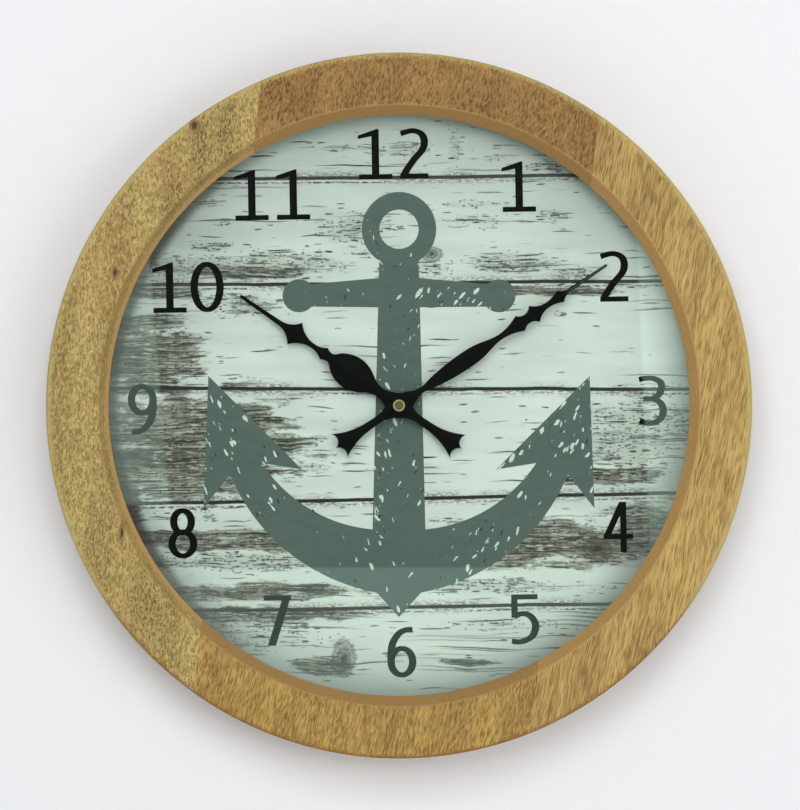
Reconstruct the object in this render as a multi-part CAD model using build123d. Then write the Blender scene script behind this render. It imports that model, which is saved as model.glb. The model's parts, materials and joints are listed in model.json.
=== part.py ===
from build123d import *
import math
import os

# A round wall clock: a wooden ring frame with a glass lens, a printed dial on a board, pressed
# metal hands and a quartz movement with its gear train, battery and setting knob.
#
# Every piece is modelled lying on its back, with the dial's axis on z: the wall is the plane z = 0,
# z grows towards the viewer and y is up the dial. The pieces are stood upright when they are
# written, so that in the files +Z is up, the dial faces -Y, the wall plane is y = 0 and the origin
# is the centre of the keyhole that hangs the clock. Sizes are millimetres.

# Frame
FRAME_DIAMETER = 356.0
FRAME_DEPTH = 45.0
SIGHT_DIAMETER = 294.0
BEVEL_WIDTH = 4.5
LIP_DEPTH = 8.0
OUTER_ROUND = 3.0
INNER_ROUND = 1.0
BACK_ROUND = 1.5
REBATE_RADIUS = 153.0
CAVITY_RADIUS = 158.0
BOARD_TILT = 6.3
LEFT_JOINT = 87.0
RIGHT_JOINT = 84.0

# Glass, spacer and dial
GLASS_RADIUS = 152.4
GLASS_THICKNESS = 2.0
GLASS_CHAMFER = 0.3
HAND_ROOM = 12.0
SPACER_WALL = 3.2
PRINT_THICKNESS = 0.3
PRINT_MARGIN = 0.2
DIAL_THICKNESS = 3.0
DIAL_HOLE_RADIUS = 4.2

# Places along z that follow from that stack
LIP_Z = FRAME_DEPTH - LIP_DEPTH
GLASS_BACK = LIP_Z - GLASS_THICKNESS
DIAL_FACE = GLASS_BACK - HAND_ROOM
BOARD_FACE = DIAL_FACE - PRINT_THICKNESS
BOARD_BACK = BOARD_FACE - DIAL_THICKNESS

# Clips that hold the dial board, and their screws
CLIP_ANGLES = [60.0 * step for step in range(6)]
CLIP_REACH = (145.0, 157.6)
CLIP_WIDTH = 10.0
CLIP_CORNER = 3.0
CLIP_THICKNESS = 1.0
CLIP_SCREW_PLACE = 155.5
CLIP_SCREW_RADIUS = 1.25
CLIP_SCREW_LENGTH = 11.0
CLIP_HEAD_RADIUS = 2.3
CLIP_HEAD_FLAT = 1.4
CLIP_HEAD_HEIGHT = 1.7

# Keyhole hanger, let in flush at the top of the frame's back
HANGER_SPAN = (160.2, 175.2)
HANGER_HALF_WIDTH = 18.0
HANGER_CORNER = 2.0
HANGER_THICKNESS = 1.5
HANGER_PLAY = 0.15
KEYHOLE_CENTRE = 165.6
KEYHOLE_RADIUS = 4.25
KEYHOLE_SLOT_RADIUS = 2.2
KEYHOLE_SLOT_TOP = 171.0
KEYHOLE_ROOM = 2.0
KEYHOLE_DEPTH = 9.0
HANGER_SCREWS = [(-13.0, 167.7), (13.0, 167.7)]
HANGER_SCREW_RADIUS = 1.5
HANGER_HEAD_RADIUS = 3.0
HANGER_SCREW_LENGTH = 14.0
RECESS_LENGTH = 3.0
RECESS_WIDTH = 0.7
RECESS_DEPTH = 0.9

# Movement case: its back and front are z places, the others are lengths and y places
CASE_HALF = 28.0
CASE_BACK = 2.5
CASE_FRONT = 18.5
CASE_WALL = 1.4
CASE_CORNER = 2.5
COVER_THICKNESS = 1.5
FLOOR_THICKNESS = 1.5
BAY_FLOOR = 1.2
BAY_TOP = -11.2
ROOM_BOTTOM = -10.0
COVER_INSIDE = CASE_BACK + COVER_THICKNESS
FLOOR_INSIDE = CASE_FRONT - FLOOR_THICKNESS
BAY_INSIDE = CASE_FRONT - BAY_FLOOR
CASE_INNER = CASE_HALF - CASE_WALL

# Shafts that stand out of the movement, and the nut and washers that clamp it to the dial
THREAD_RADIUS = 4.0
THREAD_TOP = 26.6
SPIGOT_RADIUS = 5.0
RUBBER_RADIUS = 7.5
WASHER_RADIUS = 6.6
WASHER_THICKNESS = 0.5
NUT_FLATS = 11.0
HEX_NUT_HEIGHT = 2.5
HOUR_TUBE_RADIUS = 2.6
HOUR_TUBE_BORE = 2.0
MINUTE_RADIUS = 1.95
MINUTE_END_RADIUS = 1.5
MINUTE_END_LENGTH = 1.7
RUNNING_CLEARANCE = 0.05
PIVOT_CLEARANCE = 0.03

# Gear teeth: pressure angle, and shares of the module
PRESSURE_ANGLE = math.radians(20)
ADDENDUM = 0.8
DEDENDUM = 1.05
FLANK_RELIEF = 0.1

# Tooth counts, modules and profile shifts of the gear train
CANNON_TEETH = 12
MOTION_TEETH = 36
SETTING_TEETH = 12
MOTION_PINION_TEETH = 10
HOUR_TEETH = 40
CENTRE_TEETH = 64
THIRD_PINION_TEETH = 8
THIRD_TEETH = 60
SECOND_PINION_TEETH = 8
SECOND_TEETH = 60
FIFTH_PINION_TEETH = 10
FIFTH_TEETH = 60
ROTOR_TEETH = 12
CANNON_MODULE = 0.5
CENTRE_MODULE = 0.3
ROTOR_MODULE = 0.25
MOTION_DISTANCE = (CANNON_TEETH + MOTION_TEETH) * CANNON_MODULE / 2
HOUR_MODULE = 2 * MOTION_DISTANCE / (MOTION_PINION_TEETH + HOUR_TEETH)
SHIFT_8 = 0.5
SHIFT_10 = 0.4
SHIFT_12 = 0.3

# Layers of the movement along z, each (bottom, top)
SECOND_LAYER = (6.4, 7.4)
FIFTH_PINION_LAYER = (6.0, 7.8)
THIRD_LAYER = (8.4, 9.6)
SECOND_PINION_LAYER = (8.0, 10.0)
FIFTH_LAYER = (10.6, 11.6)
ROTOR_LAYER = (10.2, 12.0)
CENTRE_LAYER = (10.8, 12.0)
THIRD_PINION_LAYER = (10.4, 12.4)
CANNON_LAYER = (12.6, 14.8)
MOTION_LAYER = (13.0, 14.4)
MOTION_PINION_LAYER = (14.4, 16.7)
HOUR_LAYER = (15.2, 16.5)
BRIDGE_LAYER = (12.8, 13.8)
CIRCUIT_LAYER = (13.0, 14.0)
CORE_LAYER = (13.7, 14.7)
STATOR_LAYER = (14.7, 15.7)
MAGNET_LAYER = (14.2, 16.2)

# Arbors and their bearings
PIVOT_RADIUS = 0.5
PIVOT_LENGTH = 1.0
END_SHAKE = 0.1
ARBOR_RADIUS = 1.0
SLIM_ARBOR_RADIUS = 0.7
CLUTCH_SEAT_RADIUS = 1.5
CLUTCH_SPRING_RADIUS = 3.0
CLUTCH_GAP = 0.05
COLLAR_RADIUS = 2.2
COLLAR_HEIGHT = 0.5
SETTING_SHAFT_RADIUS = 2.0
KNOB_RADIUS = 5.5
KNOB_BACK = 0.4
KNOB_GRIPS = 24
GRIP_RADIUS = 0.35
MAGNET_RADIUS = 2.4
BOSS_RADIUS = 1.5
BOSS_TOP = 5.4
ROTOR_BOSS_TOP = 9.6
POST_RADIUS = 1.2
BRIDGE_PILLARS = [(24.5, 2.6), (24.5, 24.5), (0.8, 12.6)]
BRIDGE_OUTLINE = [(-1.3, 10.6), (2.8, 6.6), (11.0, 3.4), (21.5, 0.6), (26.3, 0.6),
                  (26.3, 26.3), (5.6, 26.3), (5.6, 17.0), (-1.3, 14.8)]
BRIDGE_ROTOR_HOLE = 1.1
BRIDGE_SCREW_RADIUS = 0.6
BRIDGE_HEAD_RADIUS = 1.3
BRIDGE_HEAD_HEIGHT = 1.1
BRIDGE_SCREW_LENGTH = 3.4
BRIDGE_SLOT_HALF = 0.2
BRIDGE_SLOT_DEPTH = 0.5

# Motor and circuit; the stator's arms are (middle x, middle y, width, height)
POLE_RADIUS = 5.0
POLE_BORE = 2.8
STATOR_ARMS = [(2.8, 22.6, 6.0, 4.0), (-7.4, 16.7, 29.2, 3.0), (-20.2, 19.9, 3.6, 9.4)]
STATOR_POSTS = [(-20.2, 16.7), (3.0, 21.0)]
COIL_Y = 22.5
COIL_SPAN = (-17.8, -0.6)
COIL_FLANGE = 0.8
COIL_FLANGE_RADIUS = 2.4
COIL_RADIUS = 2.1
CORE_SPAN = (-21.6, 3.4)
CORE_HALF_WIDTH = 1.0
BOARD_LOW = (11.5, -9.6)
BOARD_HIGH = (26.2, -1.2)
BOARD_POSTS = [(13.2, -8.0), (24.4, -2.8)]
CHIP_PLACE = (15.8, -5.4)
CHIP_RADIUS = 2.2
CHIP_HEIGHT = 1.0
CHIP_ROUND = 0.7
CRYSTAL_PLACE = (22.2, -5.4)
CRYSTAL_RADIUS = 1.0
CRYSTAL_LENGTH = 6.0

# Battery, an AA cell: the x places of its flat end, its shoulder and its nub
CELL_RADIUS = 7.2
CELL_CORNER = 0.6
CELL_NUB_RADIUS = 2.75
CELL_ENDS = (-24.2, 25.0, 26.0)
CELL_Y = (BAY_TOP - CASE_INNER) / 2
CELL_Z = 9.95
CONTACT_THICKNESS = 0.4
CONTACT_HALF_WIDTH = 4.0
CONTACT_Z = (5.0, 15.0)
LEAF_HALF_TOUCH = 0.6

# Hands, and the time they show: nine minutes and a third past ten
REST_HOURS = 10
REST_MINUTES = 9.32
MINUTE_ANGLE = 6 * REST_MINUTES
HOUR_ANGLE = 30 * (REST_HOURS + REST_MINUTES / 60)
HAND_EDGE = 0.35
HAND_RIDGE = 0.95
HAND_ROOF_HALF = 10.0
HAND_HUB_RADIUS = 6.0
HAND_HUB_HEIGHT = 0.7
HAND_WAIST = (3.2, -7.0)
HAND_CHEEK = (5.2, 0.0)
HOUR_LENGTH = 97.5
MINUTE_LENGTH = 127.0
HOUR_HAND_Z = 28.0
MINUTE_HAND_Z = 30.2
COLLET_RADIUS = 3.3
COLLET_FLANGE_RADIUS = 5.0
COLLET_FLANGE_HEIGHT = 0.8
NUT_RADIUS = 3.0
NUT_HEIGHT = 2.1
NUT_CHAMFER = 0.35
NUT_DISH_RADIUS = 2.35
NUT_DISH_DEPTH = 0.2


# Shapes


def cylinder(radius, bottom, top):
    """An upright cylinder on the z axis."""
    return Pos(0, 0, bottom) * Cylinder(radius, top - bottom, align=(Align.CENTER, Align.CENTER, Align.MIN))


def tube(outer, inner, bottom, top):
    """A cylinder with a bore."""
    return cylinder(outer, bottom, top) - cylinder(inner, bottom, top)


def bore(radius):
    """A tool for a hole on the z axis through the whole clock."""
    return cylinder(radius, 0, FRAME_DEPTH)


def block(low, high):
    """A box from its lowest to its highest corner."""
    size = [b - a for a, b in zip(low, high)]
    return Pos(*low) * Box(*size, align=(Align.MIN, Align.MIN, Align.MIN))


def plate(outline, layer):
    """A flat sketch made solid between the two heights of a layer."""
    return Pos(0, 0, layer[0]) * extrude(outline, layer[1] - layer[0])


def at(place, shape):
    """The shape moved to a place (x, y) on the dial plane."""
    return Pos(place[0], place[1], 0) * shape


def around(shape, angles):
    """Copies of a shape that points at twelve, turned to clock angles."""
    return [Rot(0, 0, -angle) * shape for angle in angles]


def lathe(points):
    """A turned solid from its half section, given as (radius, z) points."""
    return revolve(Plane.XZ * make_face(Polyline(*points, close=True)), Axis.Z)


def toward(start, end, distance):
    """The point at a distance from start on the way to end."""
    share = distance / math.dist(start, end)
    return tuple(a + share * (b - a) for a, b in zip(start, end))


def rounded_face(corners):
    """A flat face from (x, y, reach) corners, each rounded off over its reach along both its sides."""
    points = [(x, y) for x, y, reach in corners]
    after = points[1:] + points[:1]
    starts = [toward(point, points[i - 1], corners[i][2]) for i, point in enumerate(points)]
    ends = [toward(point, after[i], corners[i][2]) for i, point in enumerate(points)]
    edges = [Line(end, start) for end, start in zip(ends, starts[1:] + starts[:1])]
    for start, point, end in zip(starts, points, ends):
        if start != end:
            edges.append(Bezier(start, point, end))
    return make_face(edges)


def arbor(steps):
    """A turned arbor on the z axis from (radius, bottom, top) steps."""
    solid = cylinder(*steps[0])
    for step in steps[1:]:
        solid += cylinder(*step)
    return solid


# Gears


def polar(radius, angle):
    """The point at a radius and an angle in radians."""
    return radius * math.cos(angle), radius * math.sin(angle)


def involute(base_radius, radius):
    """The involute angle of a base circle at a radius on or outside it."""
    angle = math.acos(min(1.0, base_radius / radius))
    return math.tan(angle) - angle


def gear(teeth, module, shift, layer, phase=0.0):
    """A spur gear on the z axis with a tooth centred on the angle phase, in radians."""
    pitch = module * teeth / 2
    base = pitch * math.cos(PRESSURE_ANGLE)
    tip = pitch + (ADDENDUM + shift) * module
    root = pitch - (DEDENDUM - shift) * module
    start = max(root, base)
    half_tooth = (math.pi / 4 + shift * math.tan(PRESSURE_ANGLE) - FLANK_RELIEF) * module / pitch
    offset = half_tooth + involute(base, pitch)
    flank = [(radius, offset - involute(base, radius)) for radius in (start, (start + tip) / 2, tip)]
    foot = flank[0][1]
    turn = 2 * math.pi / teeth
    edges = []
    for tooth in range(teeth):
        centre = phase + turn * tooth
        rise = [polar(radius, centre - half) for radius, half in flank]
        fall = [polar(radius, centre + half) for radius, half in reversed(flank)]
        foot_in = polar(root, centre - foot)
        foot_out = polar(root, centre + foot)
        if root < start:
            edges.append(Line(foot_in, rise[0]))
            edges.append(Line(fall[2], foot_out))
        edges.append(ThreePointArc(*rise))
        edges.append(Line(rise[2], fall[0]))
        edges.append(ThreePointArc(*fall))
        edges.append(Line(foot_out, polar(root, centre + turn - foot)))
    return plate(make_face(edges), layer)


def direction_to(start, end):
    """The angle of the line from one place to another, in radians."""
    return math.atan2(end[1] - start[1], end[0] - start[0])


def step_from(start, distance, degrees):
    """The place at a distance and an angle from another."""
    step = polar(distance, math.radians(degrees))
    return start[0] + step[0], start[1] + step[1]


def mesh_phase(teeth, phase, mate_teeth, direction):
    """The mate's phase that puts its gap on the first gear's tooth, with the mate lying in direction."""
    share = (direction - phase) * teeth / (2 * math.pi)
    mate_share = 0.5 - share
    return direction + math.pi - mate_share * 2 * math.pi / mate_teeth


# Arbor places (x, y), each at its gears' centre distance from the one before
CENTRE = (0.0, 0.0)
MOTION = (-MOTION_DISTANCE, 0.0)
SETTING = step_from(MOTION, (MOTION_TEETH + SETTING_TEETH) * CANNON_MODULE / 2, 110)
THIRD = step_from(CENTRE, (CENTRE_TEETH + THIRD_PINION_TEETH) * CENTRE_MODULE / 2, 60)
SECOND = step_from(THIRD, (THIRD_TEETH + SECOND_PINION_TEETH) * CENTRE_MODULE / 2, -10)
FIFTH = step_from(SECOND, (SECOND_TEETH + FIFTH_PINION_TEETH) * ROTOR_MODULE / 2, 80)
ROTOR = step_from(FIFTH, (FIFTH_TEETH + ROTOR_TEETH) * ROTOR_MODULE / 2, 150)

# Tooth phases that put every pair in mesh at rest
MOTION_PHASE = mesh_phase(CANNON_TEETH, 0.0, MOTION_TEETH, direction_to(CENTRE, MOTION))
HOUR_PHASE = mesh_phase(MOTION_PINION_TEETH, 0.0, HOUR_TEETH, direction_to(MOTION, CENTRE))
SETTING_PHASE = mesh_phase(MOTION_TEETH, MOTION_PHASE, SETTING_TEETH, direction_to(MOTION, SETTING))
CENTRE_PHASE = mesh_phase(THIRD_PINION_TEETH, 0.0, CENTRE_TEETH, direction_to(THIRD, CENTRE))
SECOND_PINION_PHASE = mesh_phase(THIRD_TEETH, 0.0, SECOND_PINION_TEETH, direction_to(THIRD, SECOND))
FIFTH_PINION_PHASE = mesh_phase(SECOND_TEETH, 0.0, FIFTH_PINION_TEETH, direction_to(SECOND, FIFTH))
ROTOR_PHASE = mesh_phase(FIFTH_TEETH, 0.0, ROTOR_TEETH, direction_to(FIFTH, ROTOR))

# Pivots, each (radius, bottom, top), and the shoulders beside them
FOOT = BOSS_TOP + END_SHAKE
BACK_PIVOT = (PIVOT_RADIUS, FOOT - PIVOT_LENGTH, FOOT)
FRONT_SHOULDER = BRIDGE_LAYER[0] - END_SHAKE
FRONT_PIVOT = (PIVOT_RADIUS, FRONT_SHOULDER, BRIDGE_LAYER[1])
FLOOR_SHOULDER = FLOOR_INSIDE - END_SHAKE
FLOOR_PIVOT = (PIVOT_RADIUS, FLOOR_SHOULDER, FLOOR_SHOULDER + PIVOT_LENGTH)


# Frame


def keyhole(grow=0.0):
    """The keyhole's plan: a round entry with a slot running up from it."""
    width = 2 * (KEYHOLE_SLOT_RADIUS + grow)
    length = KEYHOLE_SLOT_TOP - KEYHOLE_CENTRE
    entry = Pos(0, KEYHOLE_CENTRE) * Circle(KEYHOLE_RADIUS + grow)
    slot = Pos(0, KEYHOLE_CENTRE + length / 2) * Rectangle(width, length)
    return entry + slot + Pos(0, KEYHOLE_SLOT_TOP) * Circle(width / 2)


def frame_ring():
    """The whole turned ring, with the hanger's pocket and the screw holes, before it is split."""
    outer = FRAME_DIAMETER / 2
    sight = SIGHT_DIAMETER / 2
    section = rounded_face([
        (CAVITY_RADIUS, 0, 0), (outer, 0, BACK_ROUND), (outer, FRAME_DEPTH, OUTER_ROUND),
        (sight + BEVEL_WIDTH, FRAME_DEPTH, INNER_ROUND), (sight, LIP_Z, 0), (REBATE_RADIUS, LIP_Z, 0),
        (REBATE_RADIUS, BOARD_BACK, 0), (CAVITY_RADIUS, BOARD_BACK, 0)])
    ring = revolve(Plane.XZ * section, Axis.Z)
    ring -= around(at((0, CLIP_SCREW_PLACE), clip_screw_body()), CLIP_ANGLES)
    half = HANGER_HALF_WIDTH + HANGER_PLAY
    low, high = HANGER_SPAN
    ring -= block((-half, low - HANGER_PLAY, 0), (half, high + HANGER_PLAY, HANGER_THICKNESS))
    ring -= extrude(keyhole(KEYHOLE_ROOM), KEYHOLE_DEPTH)
    return ring - [at(place, hanger_screw_body()) for place in HANGER_SCREWS]


def frame_staves():
    """The ring cut along the two glue lines of its three upright boards, into four pieces."""
    ring = frame_ring()
    far = FRAME_DIAMETER
    regions = {
        "frame_left_stave": ((-far, -far), (-LEFT_JOINT, far)),
        "frame_right_stave": ((RIGHT_JOINT, -far), (far, far)),
        "frame_top_stave": ((-LEFT_JOINT, 0), (RIGHT_JOINT, far)),
        "frame_bottom_stave": ((-LEFT_JOINT, -far), (RIGHT_JOINT, 0)),
    }
    staves = {}
    for name, (low, high) in regions.items():
        staves[name] = ring & (Rot(0, 0, -BOARD_TILT) * block((*low, -far), (*high, far)))
    return staves


# Fasteners and fittings on the frame's back


def cross_recess(face):
    """The cross slot of a screw head whose face, towards the back, is at height face."""
    low = (-RECESS_LENGTH / 2, -RECESS_WIDTH / 2, face)
    arm = block(low, (RECESS_LENGTH / 2, RECESS_WIDTH / 2, face + RECESS_DEPTH))
    return arm + Rot(0, 0, 90) * arm


def clip_screw_body():
    """A pan-head screw, without its recess, whose head rests on a clip."""
    seat = BOARD_BACK - CLIP_THICKNESS
    face = seat - CLIP_HEAD_HEIGHT
    point = seat + CLIP_SCREW_LENGTH
    return lathe([
        (0, face), (CLIP_HEAD_FLAT, face), (CLIP_HEAD_RADIUS, seat - CLIP_HEAD_HEIGHT / 2),
        (CLIP_HEAD_RADIUS, seat), (CLIP_SCREW_RADIUS, seat), (CLIP_SCREW_RADIUS, point - 2 * CLIP_SCREW_RADIUS),
        (0, point)])


def clip_screw():
    """One clip screw, at twelve."""
    screw = clip_screw_body() - cross_recess(BOARD_BACK - CLIP_THICKNESS - CLIP_HEAD_HEIGHT)
    return at((0, CLIP_SCREW_PLACE), screw)


def retaining_clip():
    """A flat tab, at twelve, that overlaps the dial board's rim."""
    low = (-CLIP_WIDTH / 2, CLIP_REACH[0], BOARD_BACK - CLIP_THICKNESS)
    tab = block(low, (CLIP_WIDTH / 2, CLIP_REACH[1], BOARD_BACK))
    tab = fillet(tab.edges().filter_by(Axis.Z).group_by(Axis.Y)[0], CLIP_CORNER)
    return tab - at((0, CLIP_SCREW_PLACE), clip_screw_body())


def hanger_screw_body():
    """A countersunk screw, without its recess, that lies flush in the hanger plate."""
    return lathe([
        (0, 0), (HANGER_HEAD_RADIUS, 0), (HANGER_SCREW_RADIUS, HANGER_THICKNESS),
        (HANGER_SCREW_RADIUS, HANGER_SCREW_LENGTH - 2 * HANGER_SCREW_RADIUS), (0, HANGER_SCREW_LENGTH)])


def hanger_plate():
    """The keyhole plate."""
    low = (-HANGER_HALF_WIDTH, HANGER_SPAN[0], 0)
    body = block(low, (HANGER_HALF_WIDTH, HANGER_SPAN[1], HANGER_THICKNESS))
    body = fillet(body.edges().filter_by(Axis.Z), HANGER_CORNER)
    body -= extrude(keyhole(), HANGER_THICKNESS)
    return body - [at(place, hanger_screw_body()) for place in HANGER_SCREWS]


# Glass


def glass_lens():
    """The flat glass with its ground edges."""
    return chamfer(cylinder(GLASS_RADIUS, GLASS_BACK, LIP_Z).edges(), GLASS_CHAMFER)


# Movement case and its fixed fittings


def bridge_screw():
    """A small slotted screw, head towards the back, that holds the bridge to its pillar."""
    seat = BRIDGE_LAYER[0]
    face = seat - BRIDGE_HEAD_HEIGHT
    point = seat + BRIDGE_SCREW_LENGTH
    screw = lathe([
        (0, face), (BRIDGE_HEAD_RADIUS, face), (BRIDGE_HEAD_RADIUS, seat), (BRIDGE_SCREW_RADIUS, seat),
        (BRIDGE_SCREW_RADIUS, point - BRIDGE_SCREW_RADIUS), (0, point)])
    low = (-BRIDGE_HEAD_RADIUS, -BRIDGE_SLOT_HALF, face)
    return screw - block(low, (BRIDGE_HEAD_RADIUS, BRIDGE_SLOT_HALF, face + BRIDGE_SLOT_DEPTH))


def front_case():
    """The moulded front half: floor, side walls, battery bay, posts and three of the bearings."""
    case = block((-CASE_HALF, -CASE_HALF, CASE_BACK), (CASE_HALF, CASE_HALF, CASE_FRONT))
    case = fillet(case.edges().filter_by(Axis.Z), CASE_CORNER)
    case -= block((-CASE_HALF, ROOM_BOTTOM, 0), (CASE_HALF, CASE_HALF, COVER_INSIDE))
    case -= block((-CASE_INNER, ROOM_BOTTOM, 0), (CASE_INNER, CASE_INNER, FLOOR_INSIDE))
    case -= block((-CASE_INNER, -CASE_INNER, 0), (CASE_INNER, BAY_TOP, BAY_INSIDE))
    posts = [(place, BOSS_RADIUS, BRIDGE_LAYER) for place in BRIDGE_PILLARS]
    posts += [(place, POST_RADIUS, CIRCUIT_LAYER) for place in BOARD_POSTS]
    posts += [(place, POST_RADIUS, STATOR_LAYER) for place in STATOR_POSTS]
    for place, radius, layer in posts:
        case += at(place, cylinder(radius, layer[1], FLOOR_INSIDE))
    case -= [at(place, bridge_screw()) for place in BRIDGE_PILLARS]
    bearing = cylinder(PIVOT_RADIUS + PIVOT_CLEARANCE, FLOOR_INSIDE, FLOOR_INSIDE + PIVOT_LENGTH)
    case -= [at(place, bearing) for place in (MOTION, SETTING, ROTOR)]
    return case - cylinder(SPIGOT_RADIUS, FLOOR_INSIDE, CASE_FRONT)


def back_cover():
    """The cover of the gear room, with a bearing boss for every arbor that ends there."""
    cover = block((-CASE_HALF, ROOM_BOTTOM, CASE_BACK), (CASE_HALF, CASE_HALF, COVER_INSIDE))
    cover = fillet(cover.edges().filter_by(Axis.Z).group_by(Axis.Y)[-1], CASE_CORNER)
    bosses = {place: BOSS_TOP for place in (CENTRE, MOTION, THIRD, SECOND, FIFTH)}
    bosses[ROTOR] = ROTOR_BOSS_TOP
    for place, top in bosses.items():
        cover += at(place, cylinder(BOSS_RADIUS, COVER_INSIDE, top))
        cover -= at(place, cylinder(PIVOT_RADIUS + PIVOT_CLEARANCE, top - PIVOT_LENGTH, top))
    return cover - at(SETTING, bore(SETTING_SHAFT_RADIUS + RUNNING_CLEARANCE))


def threaded_bushing():
    """The fixed shaft bushing, which is clamped through the dial and guides the hour tube."""
    bushing = cylinder(SPIGOT_RADIUS, FLOOR_INSIDE, CASE_FRONT) + cylinder(THREAD_RADIUS, CASE_FRONT, THREAD_TOP)
    return bushing - bore(HOUR_TUBE_RADIUS + RUNNING_CLEARANCE)


def hex_nut():
    """The nut that clamps the movement to the dial."""
    bottom = DIAL_FACE + WASHER_THICKNESS
    hexagon = RegularPolygon(NUT_FLATS / 2, 6, major_radius=False)
    return plate(hexagon, (bottom, bottom + HEX_NUT_HEIGHT)) - bore(THREAD_RADIUS)


def wheel_bridge():
    """The plate that carries the front pivots of the going train."""
    bridge = plate(make_face(Polyline(*BRIDGE_OUTLINE, close=True)), BRIDGE_LAYER)
    bridge -= [at(place, bore(PIVOT_RADIUS + PIVOT_CLEARANCE)) for place in (THIRD, SECOND, FIFTH)]
    bridge -= at(ROTOR, bore(BRIDGE_ROTOR_HOLE))
    return bridge - [at(place, bridge_screw()) for place in BRIDGE_PILLARS]


# Motor and circuit


def stator():
    """The flat iron plate that carries the coil's field to the rotor."""
    outline = Pos(*ROTOR) * Circle(POLE_RADIUS)
    for x, y, width, height in STATOR_ARMS:
        outline += Pos(x, y) * Rectangle(width, height)
    return plate(outline - Pos(*ROTOR) * Circle(POLE_BORE), STATOR_LAYER)


def coil_core():
    """The iron strip through the coil, under both arms of the stator."""
    low = (CORE_SPAN[0], COIL_Y - CORE_HALF_WIDTH, CORE_LAYER[0])
    return block(low, (CORE_SPAN[1], COIL_Y + CORE_HALF_WIDTH, CORE_LAYER[1]))


def coil_winding():
    """The wound coil with its two bobbin flanges, around the core."""
    start, end = COIL_SPAN
    coil = lathe([
        (0, start), (COIL_FLANGE_RADIUS, start), (COIL_FLANGE_RADIUS, start + COIL_FLANGE),
        (COIL_RADIUS, start + COIL_FLANGE), (COIL_RADIUS, end - COIL_FLANGE),
        (COIL_FLANGE_RADIUS, end - COIL_FLANGE), (COIL_FLANGE_RADIUS, end), (0, end)])
    return Pos(0, COIL_Y, sum(CORE_LAYER) / 2) * (Rot(0, 90, 0) * coil) - coil_core()


def circuit_board():
    """The small board on two posts beside the battery bay."""
    return block((*BOARD_LOW, CIRCUIT_LAYER[0]), (*BOARD_HIGH, CIRCUIT_LAYER[1]))


def driver_chip():
    """The blob of resin over the chip."""
    blob = at(CHIP_PLACE, cylinder(CHIP_RADIUS, CIRCUIT_LAYER[0] - CHIP_HEIGHT, CIRCUIT_LAYER[0]))
    return fillet(blob.edges().group_by(Axis.Z)[0], CHIP_ROUND)


def quartz_crystal():
    """The crystal's can, lying on the board."""
    can = Rot(0, 90, 0) * Cylinder(CRYSTAL_RADIUS, CRYSTAL_LENGTH)
    return Pos(*CRYSTAL_PLACE, CIRCUIT_LAYER[0] - CRYSTAL_RADIUS) * can


# Battery


def battery():
    """A cell along x, with its positive nub on the right."""
    start, shoulder, nub = CELL_ENDS
    face = CELL_RADIUS - CELL_CORNER
    cell = lathe([
        (0, start), (face, start), (CELL_RADIUS, start + CELL_CORNER), (CELL_RADIUS, shoulder - CELL_CORNER),
        (face, shoulder), (CELL_NUB_RADIUS, shoulder), (CELL_NUB_RADIUS, nub), (0, nub)])
    return Pos(0, CELL_Y, CELL_Z) * (Rot(0, 90, 0) * cell)


def positive_contact():
    """The plain plate at the cell's nub."""
    low = (CASE_INNER - CONTACT_THICKNESS, CELL_Y - CONTACT_HALF_WIDTH, CONTACT_Z[0])
    return block(low, (CASE_INNER, CELL_Y + CONTACT_HALF_WIDTH, CONTACT_Z[1]))


def negative_contact():
    """A plate with a bent leaf that reaches to the cell's flat end."""
    wall = -CASE_INNER
    face = wall + CONTACT_THICKNESS
    touch = CELL_ENDS[0] - END_SHAKE
    low, high = CONTACT_Z
    sheet = Polyline((wall, low), (face, low), (face, high), (wall, high), close=True)
    leaf = Polyline(
        (face, low), (touch, CELL_Z - LEAF_HALF_TOUCH), (touch, CELL_Z + LEAF_HALF_TOUCH), (face, high),
        (face, high - CONTACT_THICKNESS), (touch - CONTACT_THICKNESS, CELL_Z),
        (face, low + CONTACT_THICKNESS), close=True)
    strip = make_face(sheet) + make_face(leaf)
    return Pos(0, CELL_Y, 0) * extrude(Plane.XZ * strip, CONTACT_HALF_WIDTH, both=True)


# Wheels


def hour_wheel():
    """The hour wheel with the tube that carries the hour hand."""
    wheel = gear(HOUR_TEETH, HOUR_MODULE, -SHIFT_10, HOUR_LAYER, HOUR_PHASE)
    wheel += cylinder(HOUR_TUBE_RADIUS, HOUR_LAYER[0], HOUR_HAND_Z + HAND_HUB_HEIGHT)
    return wheel - bore(HOUR_TUBE_BORE)


def minute_arbor():
    """The arbor through the whole movement, with the cannon pinion and the minute hand's seat."""
    collar_top = CENTRE_LAYER[0] - END_SHAKE
    collar_bottom = collar_top - COLLAR_HEIGHT
    end = MINUTE_HAND_Z + HAND_HUB_HEIGHT + MINUTE_END_LENGTH
    turned = arbor([
        BACK_PIVOT, (ARBOR_RADIUS, FOOT, collar_bottom), (COLLAR_RADIUS, collar_bottom, collar_top),
        (CLUTCH_SEAT_RADIUS, collar_top, CANNON_LAYER[0]), (MINUTE_RADIUS, CANNON_LAYER[0], MINUTE_HAND_Z),
        (MINUTE_END_RADIUS, MINUTE_HAND_Z, end)])
    return turned + gear(CANNON_TEETH, CANNON_MODULE, SHIFT_12, CANNON_LAYER)


def clutch_spring():
    """The spring washer that lets the minute arbor slip in the centre wheel."""
    bottom = CENTRE_LAYER[1] + CLUTCH_GAP
    return tube(CLUTCH_SPRING_RADIUS, CLUTCH_SEAT_RADIUS, bottom, CANNON_LAYER[0] - CLUTCH_GAP)


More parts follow.
